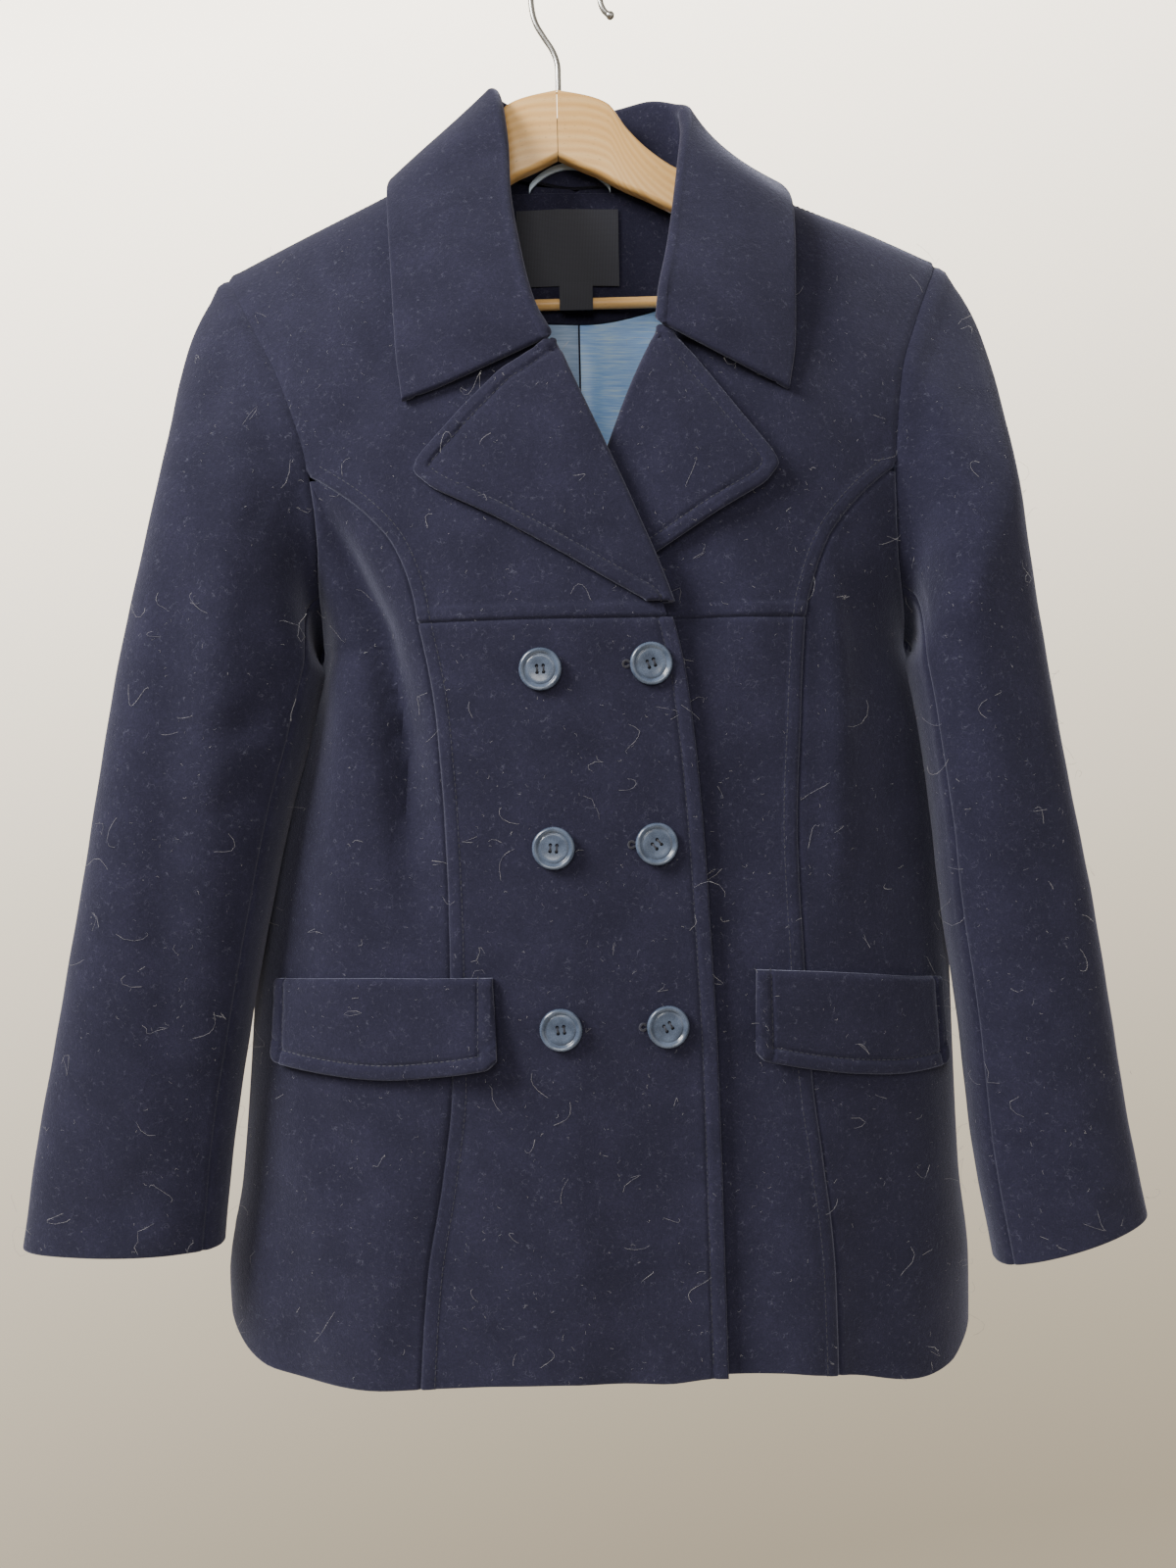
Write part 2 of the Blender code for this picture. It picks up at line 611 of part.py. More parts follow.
def make_sleeve(side, collection):
    """The upper and the under piece of one sleeve."""
    rings, seam_normals = sleeve_grid(side)
    ways = ring_normals(rings, outwards(side), seam_normals)
    count = len(rings[0])
    front_seam, back_seam = SLEEVE_SEAMS
    pieces = {"sleeve_upper_": list(range(back_seam, count)) + list(range(front_seam + 1)),
              "sleeve_under_": list(range(front_seam, back_seam + 1))}
    for name, picks in pieces.items():
        outer = []
        inner = []
        for ring, way in zip(rings, ways):
            line = [ring[i].copy() for i in picks]
            step_a = (line[1] - line[0]).normalized() * SEAM
            step_b = (line[-2] - line[-1]).normalized() * SEAM
            line[0] += step_a
            line[-1] += step_b
            outer.append(line)
            inner.append([p - way[i] * CLOTH for p, i in zip(line, picks)])
        grid_wall(name + side, outer, inner, WOOL, collection)


def make_lapel(side, collection):
    """The facing turned back over the roll line, on top of its own front."""
    out = outwards(side)
    rows = LAPEL_LEFT if side == "left" else LAPEL_RIGHT
    under = side == "right"
    low = LAPEL_LIFT[side]
    upper = []
    lower = []
    for z, roll, edge in rows:
        top_line = [skin(roll + out * ROLL_BENEATH, z, "front", -CLOTH, under),
                    skin(roll, z, "front", -CLOTH, under)]
        under_line = [skin(roll + out * ROLL_BENEATH, z, "front", 0, under),
                      skin(roll, z, "front", 0, under)]
        radius = (HEAVY + low + CLOTH) / 2
        for turn in (45, 90, 135):
            a = math.radians(turn)
            top_line.append(skin(roll - out * ROLL_OUT * math.sin(a), z, "front",
                                 radius - CLOTH - radius * math.cos(a), under))
            under_line.append(skin(roll - out * ROLL_INSIDE * math.sin(a), z, "front",
                                   low / 2 - low / 2 * math.cos(a), under))
        for f in (0, 0.25, 0.5, 0.75, 1):
            x = roll + (edge - roll) * f
            lift = low + LEAF_RISE * math.sin(math.pi * f)
            top_line.append(skin(x, z, "front", lift + HEAVY, under))
            under_line.append(skin(x, z, "front", lift, under))
        upper.append(top_line)
        lower.append(under_line)
    grid_wall("lapel_" + side, upper, lower, WOOL, collection)


def collar_rib(row):
    """The middle of the collar's thickness along one rib, from neck seam to free edge."""
    neck = Vector(row.neck)
    roll = Vector(row.roll)
    leaf = Vector(row.leaf)
    up = (roll - neck).normalized()
    away = leaf - roll
    away = (away - up * away.dot(up)).normalized()
    radius = HEAVY / 2 + 0.5
    top = roll - up * radius
    line = [neck, neck.lerp(top, 0.5), top]
    hub = top + away * radius
    for turn in (60, 120, 180):
        a = math.radians(turn)
        line.append(hub - away * radius * math.cos(a) + up * radius * math.sin(a))
    start = line[-1]
    bulge = row.crown * (leaf - start).length
    for f in (0.3, 0.6, 1.0):
        place_on = start.lerp(leaf, f) + away * bulge * math.sin(math.pi * f)
        line.append(off_form(place_on, HEAVY / 2 + LEAF_CLEAR))
    return line


def make_collar(collection):
    """The turned collar, one wall from the neck seam over the roll to its free edge."""
    rows = list(reversed(COLLAR_LEFT)) + COLLAR_RIGHT
    lines = [collar_rib(row) for row in rows]
    outer = []
    inner = []
    for k, line in enumerate(lines):
        low = lines[max(k - 1, 0)]
        high = lines[min(k + 1, len(lines) - 1)]
        top_row = []
        low_row = []
        for i, point in enumerate(line):
            along = high[i] - low[i]
            across = line[min(i + 1, len(line) - 1)] - line[max(i - 1, 0)]
            way = along.cross(across).normalized()
            top_row.append(point + way * HEAVY / 2)
            low_row.append(point - way * HEAVY / 2)
        outer.append(top_row)
        inner.append(low_row)
    grid_wall("collar", outer, inner, WOOL, collection)




def make_flap(side, collection):
    """A pocket flap: sewn along its top, and a little proud at its free edge."""
    table = FLAP_LEFT if side == "left" else FLAP_RIGHT
    places = span(-630, table[0].x, table[-1].x, FLAP_COLUMNS)
    highs = [float(curve([(row.x, row.top) for row in table], x)) for x in places]
    lows = [float(curve([(row.x, row.bottom) for row in table], x)) for x in places]
    top = []
    bottom = []
    for f in (0, 0.12, 0.5, 1):
        lift = CLEAR + 0.3 + 0.9 * f
        rows = [(x, high + (low - high) * f) for x, high, low in zip(places, highs, lows)]
        top.append([skin(x, z, "front", lift + HEAVY * (0.55 if f == 0 else 1)) for x, z in rows])
        bottom.append([skin(x, z, "front", lift) for x, z in rows])
    grid_wall("flap_" + side, top, bottom, WOOL, collection)


def make_inside(collection):
    """Back neck facing, the pleated back lining, the labels and the hanging loop."""
    lift = -CLOTH - INSIDE_CLEAR
    rows = []
    for f in (0, 0.35, 0.7, 1):
        rows.append([(x, float(curve(FACING_TOP, x)) * (1 - f) + float(curve(FACING_LOW, x)) * f)
                     for x in FACING_X])
    cloth("back_neck_facing", rows, "back", collection, LINING, lift)
    for side in ("left", "right"):
        out = outwards(side)
        rows = []
        for f in (0, 0.08, 0.16, 0.25, 0.35, 0.45, 0.58, 0.72, 0.86, 1):
            level = LINING_TOP - f * LINING_DROP
            reach = half_width(level, out) - LINING_MARGIN
            if level > UNDERARM_Z:
                reach = min(reach, abs(seam_x(ARMHOLE_BACK, side, level)) - HOLE_MARGIN)
            places = span(level, out * PLEAT_GAP, out * reach, 5)
            rows.append([(x, min(level, float(curve(FACING_LOW, x)) - PLEAT_GAP) if f == 0 else level)
                         for x in places])
        cloth("lining_back_" + side, rows, "back", collection, LINING, lift, SATIN)
    rows = [[(x, z) for x in LABEL_X] for z in LABEL_Z]
    cloth("label_main", rows, "back", collection, LABEL_THICK, lift - LINING - LABEL_THICK, LABEL)
    hanging = [[Vector((x, TAB_Y - 0.9 * f, TAB_TOP - TAB_DROP * f)) for x in TAB_X]
               for f in (0, 0.5, 1)]
    behind = [[p + Vector((0, TAB_THICK, 0)) for p in row] for row in hanging]
    grid_wall("label_size", hanging, behind, LABEL, collection)


def tube(name, path, radius, finish, collection, resolution=2):
    """A round rod or wire along a path, with its ends closed."""
    line = bpy.data.curves.new(name, "CURVE")
    line.dimensions = "3D"
    line.bevel_depth = radius * MM
    line.bevel_resolution = resolution
    line.use_fill_caps = True
    spline = line.splines.new("POLY")
    spline.points.add(len(path) - 1)
    for knot, point in zip(spline.points, path):
        knot.co = (point[0] * MM, point[1] * MM, point[2] * MM, 1)
    return place(name, line, finish, collection)


def make_loop(collection):
    """The coat's hanging loop: a flat satin band over its own arch."""
    front = []
    back = []
    for f in np.linspace(0, 1, 9):
        x = LOOP_FOOT[0] + LOOP_SPAN * f
        z = LOOP_FOOT[1] + LOOP_RISE * math.sin(math.pi * f) ** 0.7
        front.append([Vector((x, LOOP_Y, z)), Vector((x, LOOP_Y, z - LOOP_WIDE))])
        back.append([Vector((x, LOOP_Y + LINING, z)), Vector((x, LOOP_Y + LINING, z - LOOP_WIDE))])
    grid_wall("hanging_loop", front, back, SATIN, collection)


def make_arm(side, collection):
    """One bevelled wooden arm of the hanger, mitred at the middle."""
    out = outwards(side)
    half = ARM_HALF
    cut = ARM_BEVEL
    sections = []
    for row in ARM:
        x = HANGER_X + out * row.reach
        top = row.left_top if side == "left" else row.right_top
        low = top - row.depth
        y = ridge_y(x) - ARM_FORWARD
        sections.append([(x, y - half, low + cut), (x, y - half, top - cut), (x, y - half + cut, top),
                         (x, y + half - cut, top), (x, y + half, top - cut), (x, y + half, low + cut),
                         (x, y + half - cut, low), (x, y - half + cut, low)])
    form = bmesh.new()
    loops = [[form.verts.new(Vector(p) * MM) for p in section] for section in sections]
    for a, b in zip(loops, loops[1:]):
        for i in range(8):
            quad(form, a[i], a[(i + 1) % 8], b[(i + 1) % 8], b[i])
    form.faces.new(loops[0])
    form.faces.new(loops[-1])
    bmesh.ops.triangulate(form, faces=[f for f in form.faces if len(f.verts) > 4])
    finish_mesh("hanger_arm_" + side, form, WOOD, collection)


def make_hanger(collection):
    """Both arms, the dowel bar between them and the wire hook."""
    for side in ("left", "right"):
        make_arm(side, collection)
    reach = ARM[9].reach - 2 * SEAM
    ends = [(HANGER_X - reach, BAR_Y, BAR_ENDS[0]), (HANGER_X + reach, BAR_Y, BAR_ENDS[1])]
    tube("hanger_bar", ends, BAR_RADIUS, WOOD, collection, 4)
    tube("hanger_hook", [(x, 0, z) for x, z in HOOK_PATH], HOOK_RADIUS, STEEL, collection)


def button_mesh():
    """A turned four-hole button with a raised rim, its back on the plane z = 0."""
    steps = 20
    form = bmesh.new()
    rings = []
    for radius, z in BUTTON_PROFILE:
        if radius == 0:
            rings.append([form.verts.new((0, 0, z * MM))])
            continue
        rings.append([form.verts.new((radius * MM * math.cos(2 * math.pi * i / steps),
                                      radius * MM * math.sin(2 * math.pi * i / steps), z * MM))
                      for i in range(steps)])
    for low, high in zip(rings, rings[1:]):
        for i in range(steps):
            j = (i + 1) % steps
            if len(low) == 1:
                form.faces.new((low[0], high[i], high[j]))
            elif len(high) == 1:
                form.faces.new((low[i], low[j], high[0]))
            else:
                quad(form, low[i], low[j], high[j], high[i])
    bmesh.ops.recalc_face_normals(form, faces=form.faces)
    mesh = bpy.data.meshes.new("button")
    form.to_mesh(mesh)
    form.free()
    mesh.shade_smooth()
    mesh.set_sharp_from_angle(angle=math.radians(35))
    return mesh


def hole_cutter(collection):
    """Four small drills, as one object, through the button's middle."""
    form = bmesh.new()
    for x, y in ((-2, -2), (2, -2), (-2, 2), (2, 2)):
        made = bmesh.ops.create_cone(form, cap_ends=True, segments=6, radius1=0.9 * MM,
                                     radius2=0.9 * MM, depth=12 * MM)
        bmesh.ops.translate(form, verts=made["verts"], vec=(x * MM, y * MM, 0))
    mesh = bpy.data.meshes.new("button_drills")
    form.to_mesh(mesh)
    form.free()
    drill = bpy.data.objects.new("button_drills", mesh)
    drill.hide_render = True
    drill.display_type = "WIRE"
    collection.objects.link(drill)
    return drill


def make_buttons(collection, cutters):
    """The six buttons, on the front and square to it."""
    mesh = button_mesh()
    drill = hole_cutter(cutters)
    pierced = bpy.data.objects.new("pierced", mesh)
    collection.objects.link(pierced)
    cut = pierced.modifiers.new("holes", "BOOLEAN")
    cut.object = drill
    cut.solver = "EXACT"
    bpy.context.view_layer.update()
    seen = pierced.evaluated_get(bpy.context.evaluated_depsgraph_get())
    holed = bpy.data.meshes.new_from_object(seen)
    bpy.data.objects.remove(pierced)
    holed.materials.append(material(*BUTTON))
    for number, (x, z) in enumerate(BUTTONS, 1):
        way = normal(x, skin_y(x, z, "front"), z, "front")
        item = bpy.data.objects.new("button_%d" % number, holed)
        item.location = skin(x, z, "front", BUTTON_SEAT) * MM
        item.rotation_mode = "QUATERNION"
        item.rotation_quaternion = way.to_track_quat("Z", "Y")
        collection.objects.link(item)


def main():
    """Clears the scene and builds every piece."""
    for item in list(bpy.data.objects):
        bpy.data.objects.remove(item, do_unlink=True)
    coat = bpy.data.collections.new("pea_coat")
    cutters = bpy.data.collections.new("cutters")
    bpy.context.scene.collection.children.link(coat)
    bpy.context.scene.collection.children.link(cutters)
    for side in ("left", "right"):
        make_front_yoke(side, coat)
        make_front_lower(side, coat)
        make_side_front(side, coat)
        make_back(side, coat)
        make_sleeve(side, coat)
        make_lapel(side, coat)
        make_flap(side, coat)
    make_collar(coat)
    make_inside(coat)
    make_loop(coat)
    make_hanger(coat)
    make_buttons(coat, cutters)


main()
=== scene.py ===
"""Looks of a navy pea coat that hangs, buttoned, on a plain wooden hanger.

The cloth is a set of thin closed walls, each re-made finely on the form of its own CAD solid, with
pressed edges, seams and the main folds laid on. Tables and functions work in millimetres,
in the CAD's frame: the origin is the inside top of the hanger's hook, +Z is up and the front faces
-Y. "Left" and "right" are those of someone who looks at the front. Meshes are made in metres.
"""
import logging
import math
from collections import namedtuple
from dataclasses import dataclass, field
from enum import Enum
from typing import Callable, Iterable, Sequence

import bmesh
import bpy
import numpy as np
from mathutils import Matrix, Vector

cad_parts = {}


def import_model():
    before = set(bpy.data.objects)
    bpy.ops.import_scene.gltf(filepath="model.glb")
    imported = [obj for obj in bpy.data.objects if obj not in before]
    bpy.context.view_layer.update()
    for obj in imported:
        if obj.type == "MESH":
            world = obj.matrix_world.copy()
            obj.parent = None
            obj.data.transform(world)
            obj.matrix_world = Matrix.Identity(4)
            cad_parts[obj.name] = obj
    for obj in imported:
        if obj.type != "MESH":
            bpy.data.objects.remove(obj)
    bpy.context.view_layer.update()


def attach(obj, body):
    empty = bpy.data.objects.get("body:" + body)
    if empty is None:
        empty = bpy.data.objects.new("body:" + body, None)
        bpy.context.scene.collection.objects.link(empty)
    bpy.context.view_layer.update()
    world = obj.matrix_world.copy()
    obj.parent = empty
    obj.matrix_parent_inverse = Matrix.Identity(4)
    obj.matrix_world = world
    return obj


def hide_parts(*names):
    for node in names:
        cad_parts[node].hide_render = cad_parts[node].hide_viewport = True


LOG = logging.getLogger("pea_coat")
MM = 0.001

Array = np.ndarray
Table = Sequence[Sequence[float]]


# ---------------------------------------------------------------------------------------------
# Sizes: the same form, seams and edges as the CAD solids, in millimetres
# ---------------------------------------------------------------------------------------------

CLOTH = 2.5            # wool melton, one layer
HEAVY = 4.0            # collar, lapels and flaps: two layers turned and pressed
LINING = 1.2
SEAM = 0.02            # each piece stops this far short of the seam line
CLEAR = 0.4            # a layer lies this far off the one beneath it
LEAF_CLEAR = 1.0       # the collar's leaf and what it covers
INSIDE_CLEAR = 0.9     # the lining and the facing, inside the wool

HANGER_X = -10.0       # the hook and the hanger's middle
ARM_FORWARD = 2.5      # the arms lie this far in front of the shoulder ridge
RIDGE_SWEEP = 0.07     # the arms bend back by this much for each unit outwards
PRINCESS_Z = -322.0    # where the princess seam leaves the armhole
YOKE_Z = -408.0        # cross seam of the front
UNDERARM_Z = -418.0
TIP_Z = -187.0         # the shoulder seam's outer end, where the sleeve head starts
FACING_Z = -137.0      # the back neck, where the halves part for the collar
FOOT_Z = -828.0        # lowest level of the body panels, before the hem's own line
TURN = 24              # parts of a turn round a sleeve
LINING_TOP = -217.0
LINING_DROP = 575.0
OVERLAP_DROP = 11.0    # room for the under lapel beneath the top front
UNDER_DROP = 3.4       # the under front below the top front's wall

FormRow = namedtuple("FormRow", "z left right front back")
SeamRow = namedtuple("SeamRow", "z left right")
EdgeRow = namedtuple("EdgeRow", "z roll outer")
RibRow = namedtuple("RibRow", "neck roll leaf crown")
SleeveRow = namedtuple("SleeveRow", "out_x out_z in_x in_z front back")
ArmRow = namedtuple("ArmRow", "reach left_top right_top depth")
FlapRow = namedtuple("FlapRow", "x top bottom")

# half-widths and depths of the closed coat at each level; above the underarm the
# half-widths run on past the armhole, so that the fronts meet the sleeves nearly flat
FORM = [
    FormRow(-60, 300, 300, 40, 8),
    FormRow(-120, 288, 290, 45, 13),
    FormRow(-187, 262, 268, 50, 19),
    FormRow(-240, 240, 252, 62, 22),
    FormRow(-290, 216, 234, 74, 23),
    FormRow(-340, 190, 219, 82, 24),
    FormRow(-388, 164, 200, 87, 24),
    FormRow(-418, 155.5, 191, 90, 24),
    FormRow(-440, 163.5, 199, 89, 24),
    FormRow(-471, 174, 207, 89, 24),
    FormRow(-512, 185.5, 211.5, 88, 24),
    FormRow(-564, 196, 214, 88, 24.5),
    FormRow(-608, 201.5, 215, 88, 25),
    FormRow(-660, 205.5, 216, 87, 25),
    FormRow(-727, 212, 218, 86, 25),
    FormRow(-783, 221, 223, 85, 25),
    FormRow(-845, 217, 222, 84, 25),
]

SHOULDER = [(-245, -203), (-211, -187), (-170, -168), (-110, -141), (-80, -126.5), (-66, -117.5),
            (-40, -113), (0, -112), (50, -116), (76, -127.5), (90, -134), (129, -151), (171, -167),
            (216, -186.5), (250, -202)]

HEM = [(-225, -803), (-214, -810), (-202, -818), (-186, -824), (-160, -826), (-98, -824), (-28, -820),
       (35, -823), (66, -820), (99, -820), (132, -825), (185, -835), (202, -833), (213, -826), (225, -816)]

ARMHOLE_FRONT = [
    SeamRow(-187, -211, 216), SeamRow(-229, -189, 197), SeamRow(-269, -169, 183),
    SeamRow(-322, -153, 177), SeamRow(-365, -149.5, 179), SeamRow(-388, -150.5, 183),
    SeamRow(-408, -153, 188), SeamRow(-418, -155.5, 191),
]

ARMHOLE_BACK = [
    SeamRow(-187, -211, 216), SeamRow(-229, -199, 209), SeamRow(-269, -189, 204),
    SeamRow(-322, -174, 198), SeamRow(-365, -162, 193), SeamRow(-388, -157, 190.5),
    SeamRow(-408, -154.8, 190), SeamRow(-418, -155.5, 191),
]

PRINCESS = [
    SeamRow(-322, -153, 177), SeamRow(-325, -148, 172.5), SeamRow(-345, -121, 150),
    SeamRow(-365, -104, 135), SeamRow(-388, -95, 126), SeamRow(-408, -91, 121),
    SeamRow(-460, -82, 117), SeamRow(-530, -78, 114), SeamRow(-600, -77, 116),
    SeamRow(-655, -77, 119), SeamRow(-710, -84, 125), SeamRow(-765, -93, 130),
    SeamRow(-845, -99, 132),
]

NECK_FRONT = [
    SeamRow(-117, -64, 74), SeamRow(-150, -61, 76), SeamRow(-197, -51, 69),
    SeamRow(-232, -36, 56), SeamRow(-250, -20, 46),
]

NECK_BACK = [SeamRow(-117, -66, 74), SeamRow(-124, -57, 66), SeamRow(-130, -42, 52),
             SeamRow(-134, -26, 36), SeamRow(-137, -1, 1)]

# the roll line, then the free edge of each front down to the hem
FRONT_EDGE = [
    SeamRow(-250, -18, 45), SeamRow(-288, -1, 27), SeamRow(-322, 14, 14),
    SeamRow(-353, 27, 1), SeamRow(-380, 38, -12), SeamRow(-408, 47.5, -24),
    SeamRow(-440, 54, -33), SeamRow(-500, 60, -38), SeamRow(-560, 63.5, -40),
    SeamRow(-655, 67, -40), SeamRow(-845, 69.5, -40),
]

LAPEL_LEFT = [
    EdgeRow(-253.5, -15.8, -18), EdgeRow(-257.5, -13.9, -24.5),
    EdgeRow(-262.5, -11.8, -31), EdgeRow(-269.5, -9, -43), EdgeRow(-290, 0, -64),
    EdgeRow(-318, 12.2, -88), EdgeRow(-326, 15.7, -91), EdgeRow(-336, 20, -80),
    EdgeRow(-353, 27, -46), EdgeRow(-370, 34, -16), EdgeRow(-386, 40.2, 10),
    EdgeRow(-400, 45, 34),
]

LAPEL_RIGHT = [
    EdgeRow(-246.5, 46.4, 48.6), EdgeRow(-250.5, 44.5, 52),
    EdgeRow(-255, 42.5, 55), EdgeRow(-263, 38.5, 62), EdgeRow(-290, 26.3, 82),
    EdgeRow(-318, 15.5, 103), EdgeRow(-326, 12.4, 107), EdgeRow(-336, 8.3, 99),
    EdgeRow(-353, 1, 70), EdgeRow(-370, -7, 43), EdgeRow(-384, -13.6, 20),
    EdgeRow(-396, -18.9, -4),
]

# each rib of the collar: its neck seam, its roll and its free edge, centre back to front end
COLLAR_LEFT = [
    RibRow((-1, 13, -136), (-3, 15, -94), (0, 27, -152), 0.06),
    RibRow((-26, 12.5, -131.3), (-26, 15, -90), (-34, 27, -152), 0.06),
    RibRow((-46, 11, -127), (-41, 13, -85), (-68, 26, -151), 0.05),
    RibRow((-57.5, 10.5, -122.3), (-46, 7, -83), (-94, 25, -146), 0.02),
    RibRow((-64.5, 3.5, -115.8), (-45, -3, -86), (-109, 7, -134), 0.0),
    RibRow((-63, -10, -121), (-42, -15, -100), (-110, -13, -144), 0.03),
    RibRow((-61.5, -20, -134), (-40, -24, -124), (-109, -27, -159), 0.06),
    RibRow((-58.5, -31, -158), (-38.5, -38, -155), (-107, -39, -182), 0.07),
    RibRow((-49.5, -45, -197), (-33, -52, -194), (-104.5, -49, -215), 0.07),
    RibRow((-35.5, -57, -230), (-25, -64, -229), (-102, -58, -251), 0.07),
    RibRow((-19.3, -63.5, -249.5), (-14.5, -70, -250.5), (-97.5, -66, -285), 0.06),
]

COLLAR_RIGHT = [
    RibRow((27, 13, -134), (22, 15, -90), (36, 27, -153), 0.06),
    RibRow((53, 11.5, -128.6), (44, 13, -86), (76, 26, -154), 0.04),
    RibRow((69, 9, -126), (58, 7, -91), (101, 26, -149.5), -0.04),
    RibRow((76, 1.5, -125.6), (63, -4, -99), (119, 9.5, -139), -0.08),
    RibRow((76.5, -9, -130), (63, -14, -114), (126, -12, -154), -0.02),
    RibRow((76.5, -20, -143), (61, -25, -135), (125.5, -27, -168), 0.05),
    RibRow((74.5, -32, -163), (57, -39, -162), (124.5, -39, -190), 0.07),
    RibRow((67.5, -45, -198), (51.5, -52, -196), (122.5, -49, -220), 0.07),
    RibRow((57, -56, -226), (45.5, -63, -224), (120.5, -57, -253), 0.07),
    RibRow((49, -62, -243), (43, -69, -243), (115.5, -65, -281), 0.06),
]

SLEEVE_LEFT = [
    SleeveRow(-243, -335, -149, -436, -83, 14),
    SleeveRow(-261.5, -418, -157.5, -471, -84, 4),
    SleeveRow(-272, -480.5, -169.5, -512, -83, -3),
    SleeveRow(-284.5, -547, -181, -564, -80, -6),
    SleeveRow(-299, -616, -193.5, -624, -76, -9),
    SleeveRow(-314.5, -693.5, -205, -693.5, -72, -12),
    SleeveRow(-325, -752, -212, -753, -68, -14),
]

SLEEVE_RIGHT = [
    SleeveRow(249, -338, 185, -438, -80, 14),
    SleeveRow(258, -412.5, 190.5, -473, -79, 6),
    SleeveRow(267, -480.5, 195.5, -514.5, -79, 0),
    SleeveRow(278, -547.5, 200, -566, -77, -3),
    SleeveRow(289, -618.5, 208, -628, -74, -6),
    SleeveRow(301, -692, 214, -700, -71, -9),
    SleeveRow(311, -746, 226, -772, -68, -12),
]

ARM = [
    ArmRow(0.2, -85, -85, 40), ArmRow(18, -88, -88, 45), ArmRow(30, -92.5, -92.5, 46),
    ArmRow(41, -108, -107, 37), ArmRow(53, -122, -119, 30), ArmRow(69, -132, -130, 26.5),
    ArmRow(110, -150, -147, 25), ArmRow(150, -168, -163, 24), ArmRow(171.9, -178, -172, 23),
    ArmRow(172, -178, -172, 42), ArmRow(184, -184.5, -177, 36), ArmRow(191, -192, -183, 24),
]

LOOP_Y = 9.2            # the hanging loop, between the hanger and the collar's stand
LOOP_WIDE = 4.0

BUTTONS = [(-24, -435), (35, -433), (-19, -531), (36, -530), (-17, -628), (40, -628)]

HOOK_PATH = [(-9, -84.4), (-9, -76), (-9.3, -67), (-12, -59), (-17, -51), (-21.5, -43),
             (-23.8, -34), (-24, -24), (-21.5, -13.5), (-16, -5), (-8.5, 0.2), (0, 1.7),
             (8, 0), (14.5, -5.5), (18, -13), (18.2, -21.5), (17, -29), (19.5, -36), (25, -40)]
HOOK_RADIUS = 1.7

FLAP_LEFT = [FlapRow(-176, -603, -650), FlapRow(-145, -601, -653), FlapRow(-112, -600, -654),
             FlapRow(-80, -600, -652), FlapRow(-53, -600, -648)]
FLAP_RIGHT = [FlapRow(88, -599, -648), FlapRow(118, -601, -654), FlapRow(148, -604, -658),
              FlapRow(176, -608, -661), FlapRow(197, -611, -661)]


# ---------------------------------------------------------------------------------------------
# Small mathematics, on whole arrays
# ---------------------------------------------------------------------------------------------

def curve(rows: Table, at) -> Array:
    """Reads a table of (key, value) rows as a smooth line that never swings past its rows.

    Args:
        rows: the table, its keys rising or falling.
        at: one key or an array of keys, held within the table's ends.

    Returns:
        The value at each key.
    """
    keys = np.array([row[0] for row in rows], float)
    values = np.array([row[1] for row in rows], float)
    if keys[0] > keys[-1]:
        keys, values = keys[::-1], values[::-1]
    at = np.clip(np.asarray(at, float), keys[0], keys[-1])
    spans = np.diff(keys)
    slopes = np.diff(values) / spans
    tangents = np.zeros(len(keys))
    product = slopes[:-1] * slopes[1:]
    total = slopes[:-1] + slopes[1:]
    tangents[1:-1] = np.where(product > 0, 2 * product / np.where(total == 0, 1, total), 0)
    tangents[0] = slopes[0]
    tangents[-1] = slopes[-1]
    i = np.clip(np.searchsorted(keys, at, side="right") - 1, 0, len(spans) - 1)
    f = (at - keys[i]) / spans[i]
    return ((1 + 2 * f) * (1 - f) ** 2 * values[i] + f * (1 - f) ** 2 * spans[i] * tangents[i]
            + f * f * (3 - 2 * f) * values[i + 1] + f * f * (f - 1) * spans[i] * tangents[i + 1])


def smooth(value) -> Array:
    """Smooth step of a value held between 0 and 1."""
    value = np.clip(value, 0.0, 1.0)
    return value * value * (3 - 2 * value)


def bell(distance, width) -> Array:
    """A soft bump, 1 at no distance and nearly nothing at twice the width."""
    return np.exp(-(np.asarray(distance, float) / width) ** 2)


def unit(vectors: Array) -> Array:
    """Vectors of length one."""
    size = np.linalg.norm(vectors, axis=-1, keepdims=True)
    return vectors / np.where(size < 1e-9, 1, size)


def read(rows: Sequence, name: str, at, key: str = "z") -> Array:
    """One named column of a table, read as a smooth line at levels or other keys."""
    return curve([(getattr(row, key), getattr(row, name)) for row in rows], at)


def spread(length: float, step: float, near: Sequence[float], far: Sequence[float]) -> Array:
    """Places from 0 to 1 along a line, dense beside its ends and even between them.

    Args:
        length: the line's length.
        step: greatest gap between the even places.
        near: offsets from the start that are kept as places.
        far: offsets from the end that are kept as places.

    Returns:
        The places, rising, with 0 and 1 among them.
    """
    near = [n for n in near if n < length * 0.45]
    far = [f for f in far if f < length * 0.45]
    low = max(near, default=0.0)
    high = length - max(far, default=0.0)
    count = max(2, math.ceil((high - low) / step))
    middle = np.linspace(low, high, count + 1)
    places = np.unique(np.round(np.concatenate([[0.0], near, middle, length - np.array(far or [0.0]),
                                                [length]]), 4))
    return places / length


# ---------------------------------------------------------------------------------------------
# Folds: soft troughs and ridges, each with its own line, depth and breadth
# ---------------------------------------------------------------------------------------------

class Side(Enum):
    """A half of the coat, as seen from the front."""
    LEFT = "left"
    RIGHT = "right"

    @property
    def out(self) -> int:
        """Sign of x away from the middle."""
        return -1 if self is Side.LEFT else 1

    @property
    def tip_x(self) -> float:
        """Where the shoulder seam ends and the sleeve head starts."""
        return -211.0 if self is Side.LEFT else 216.0


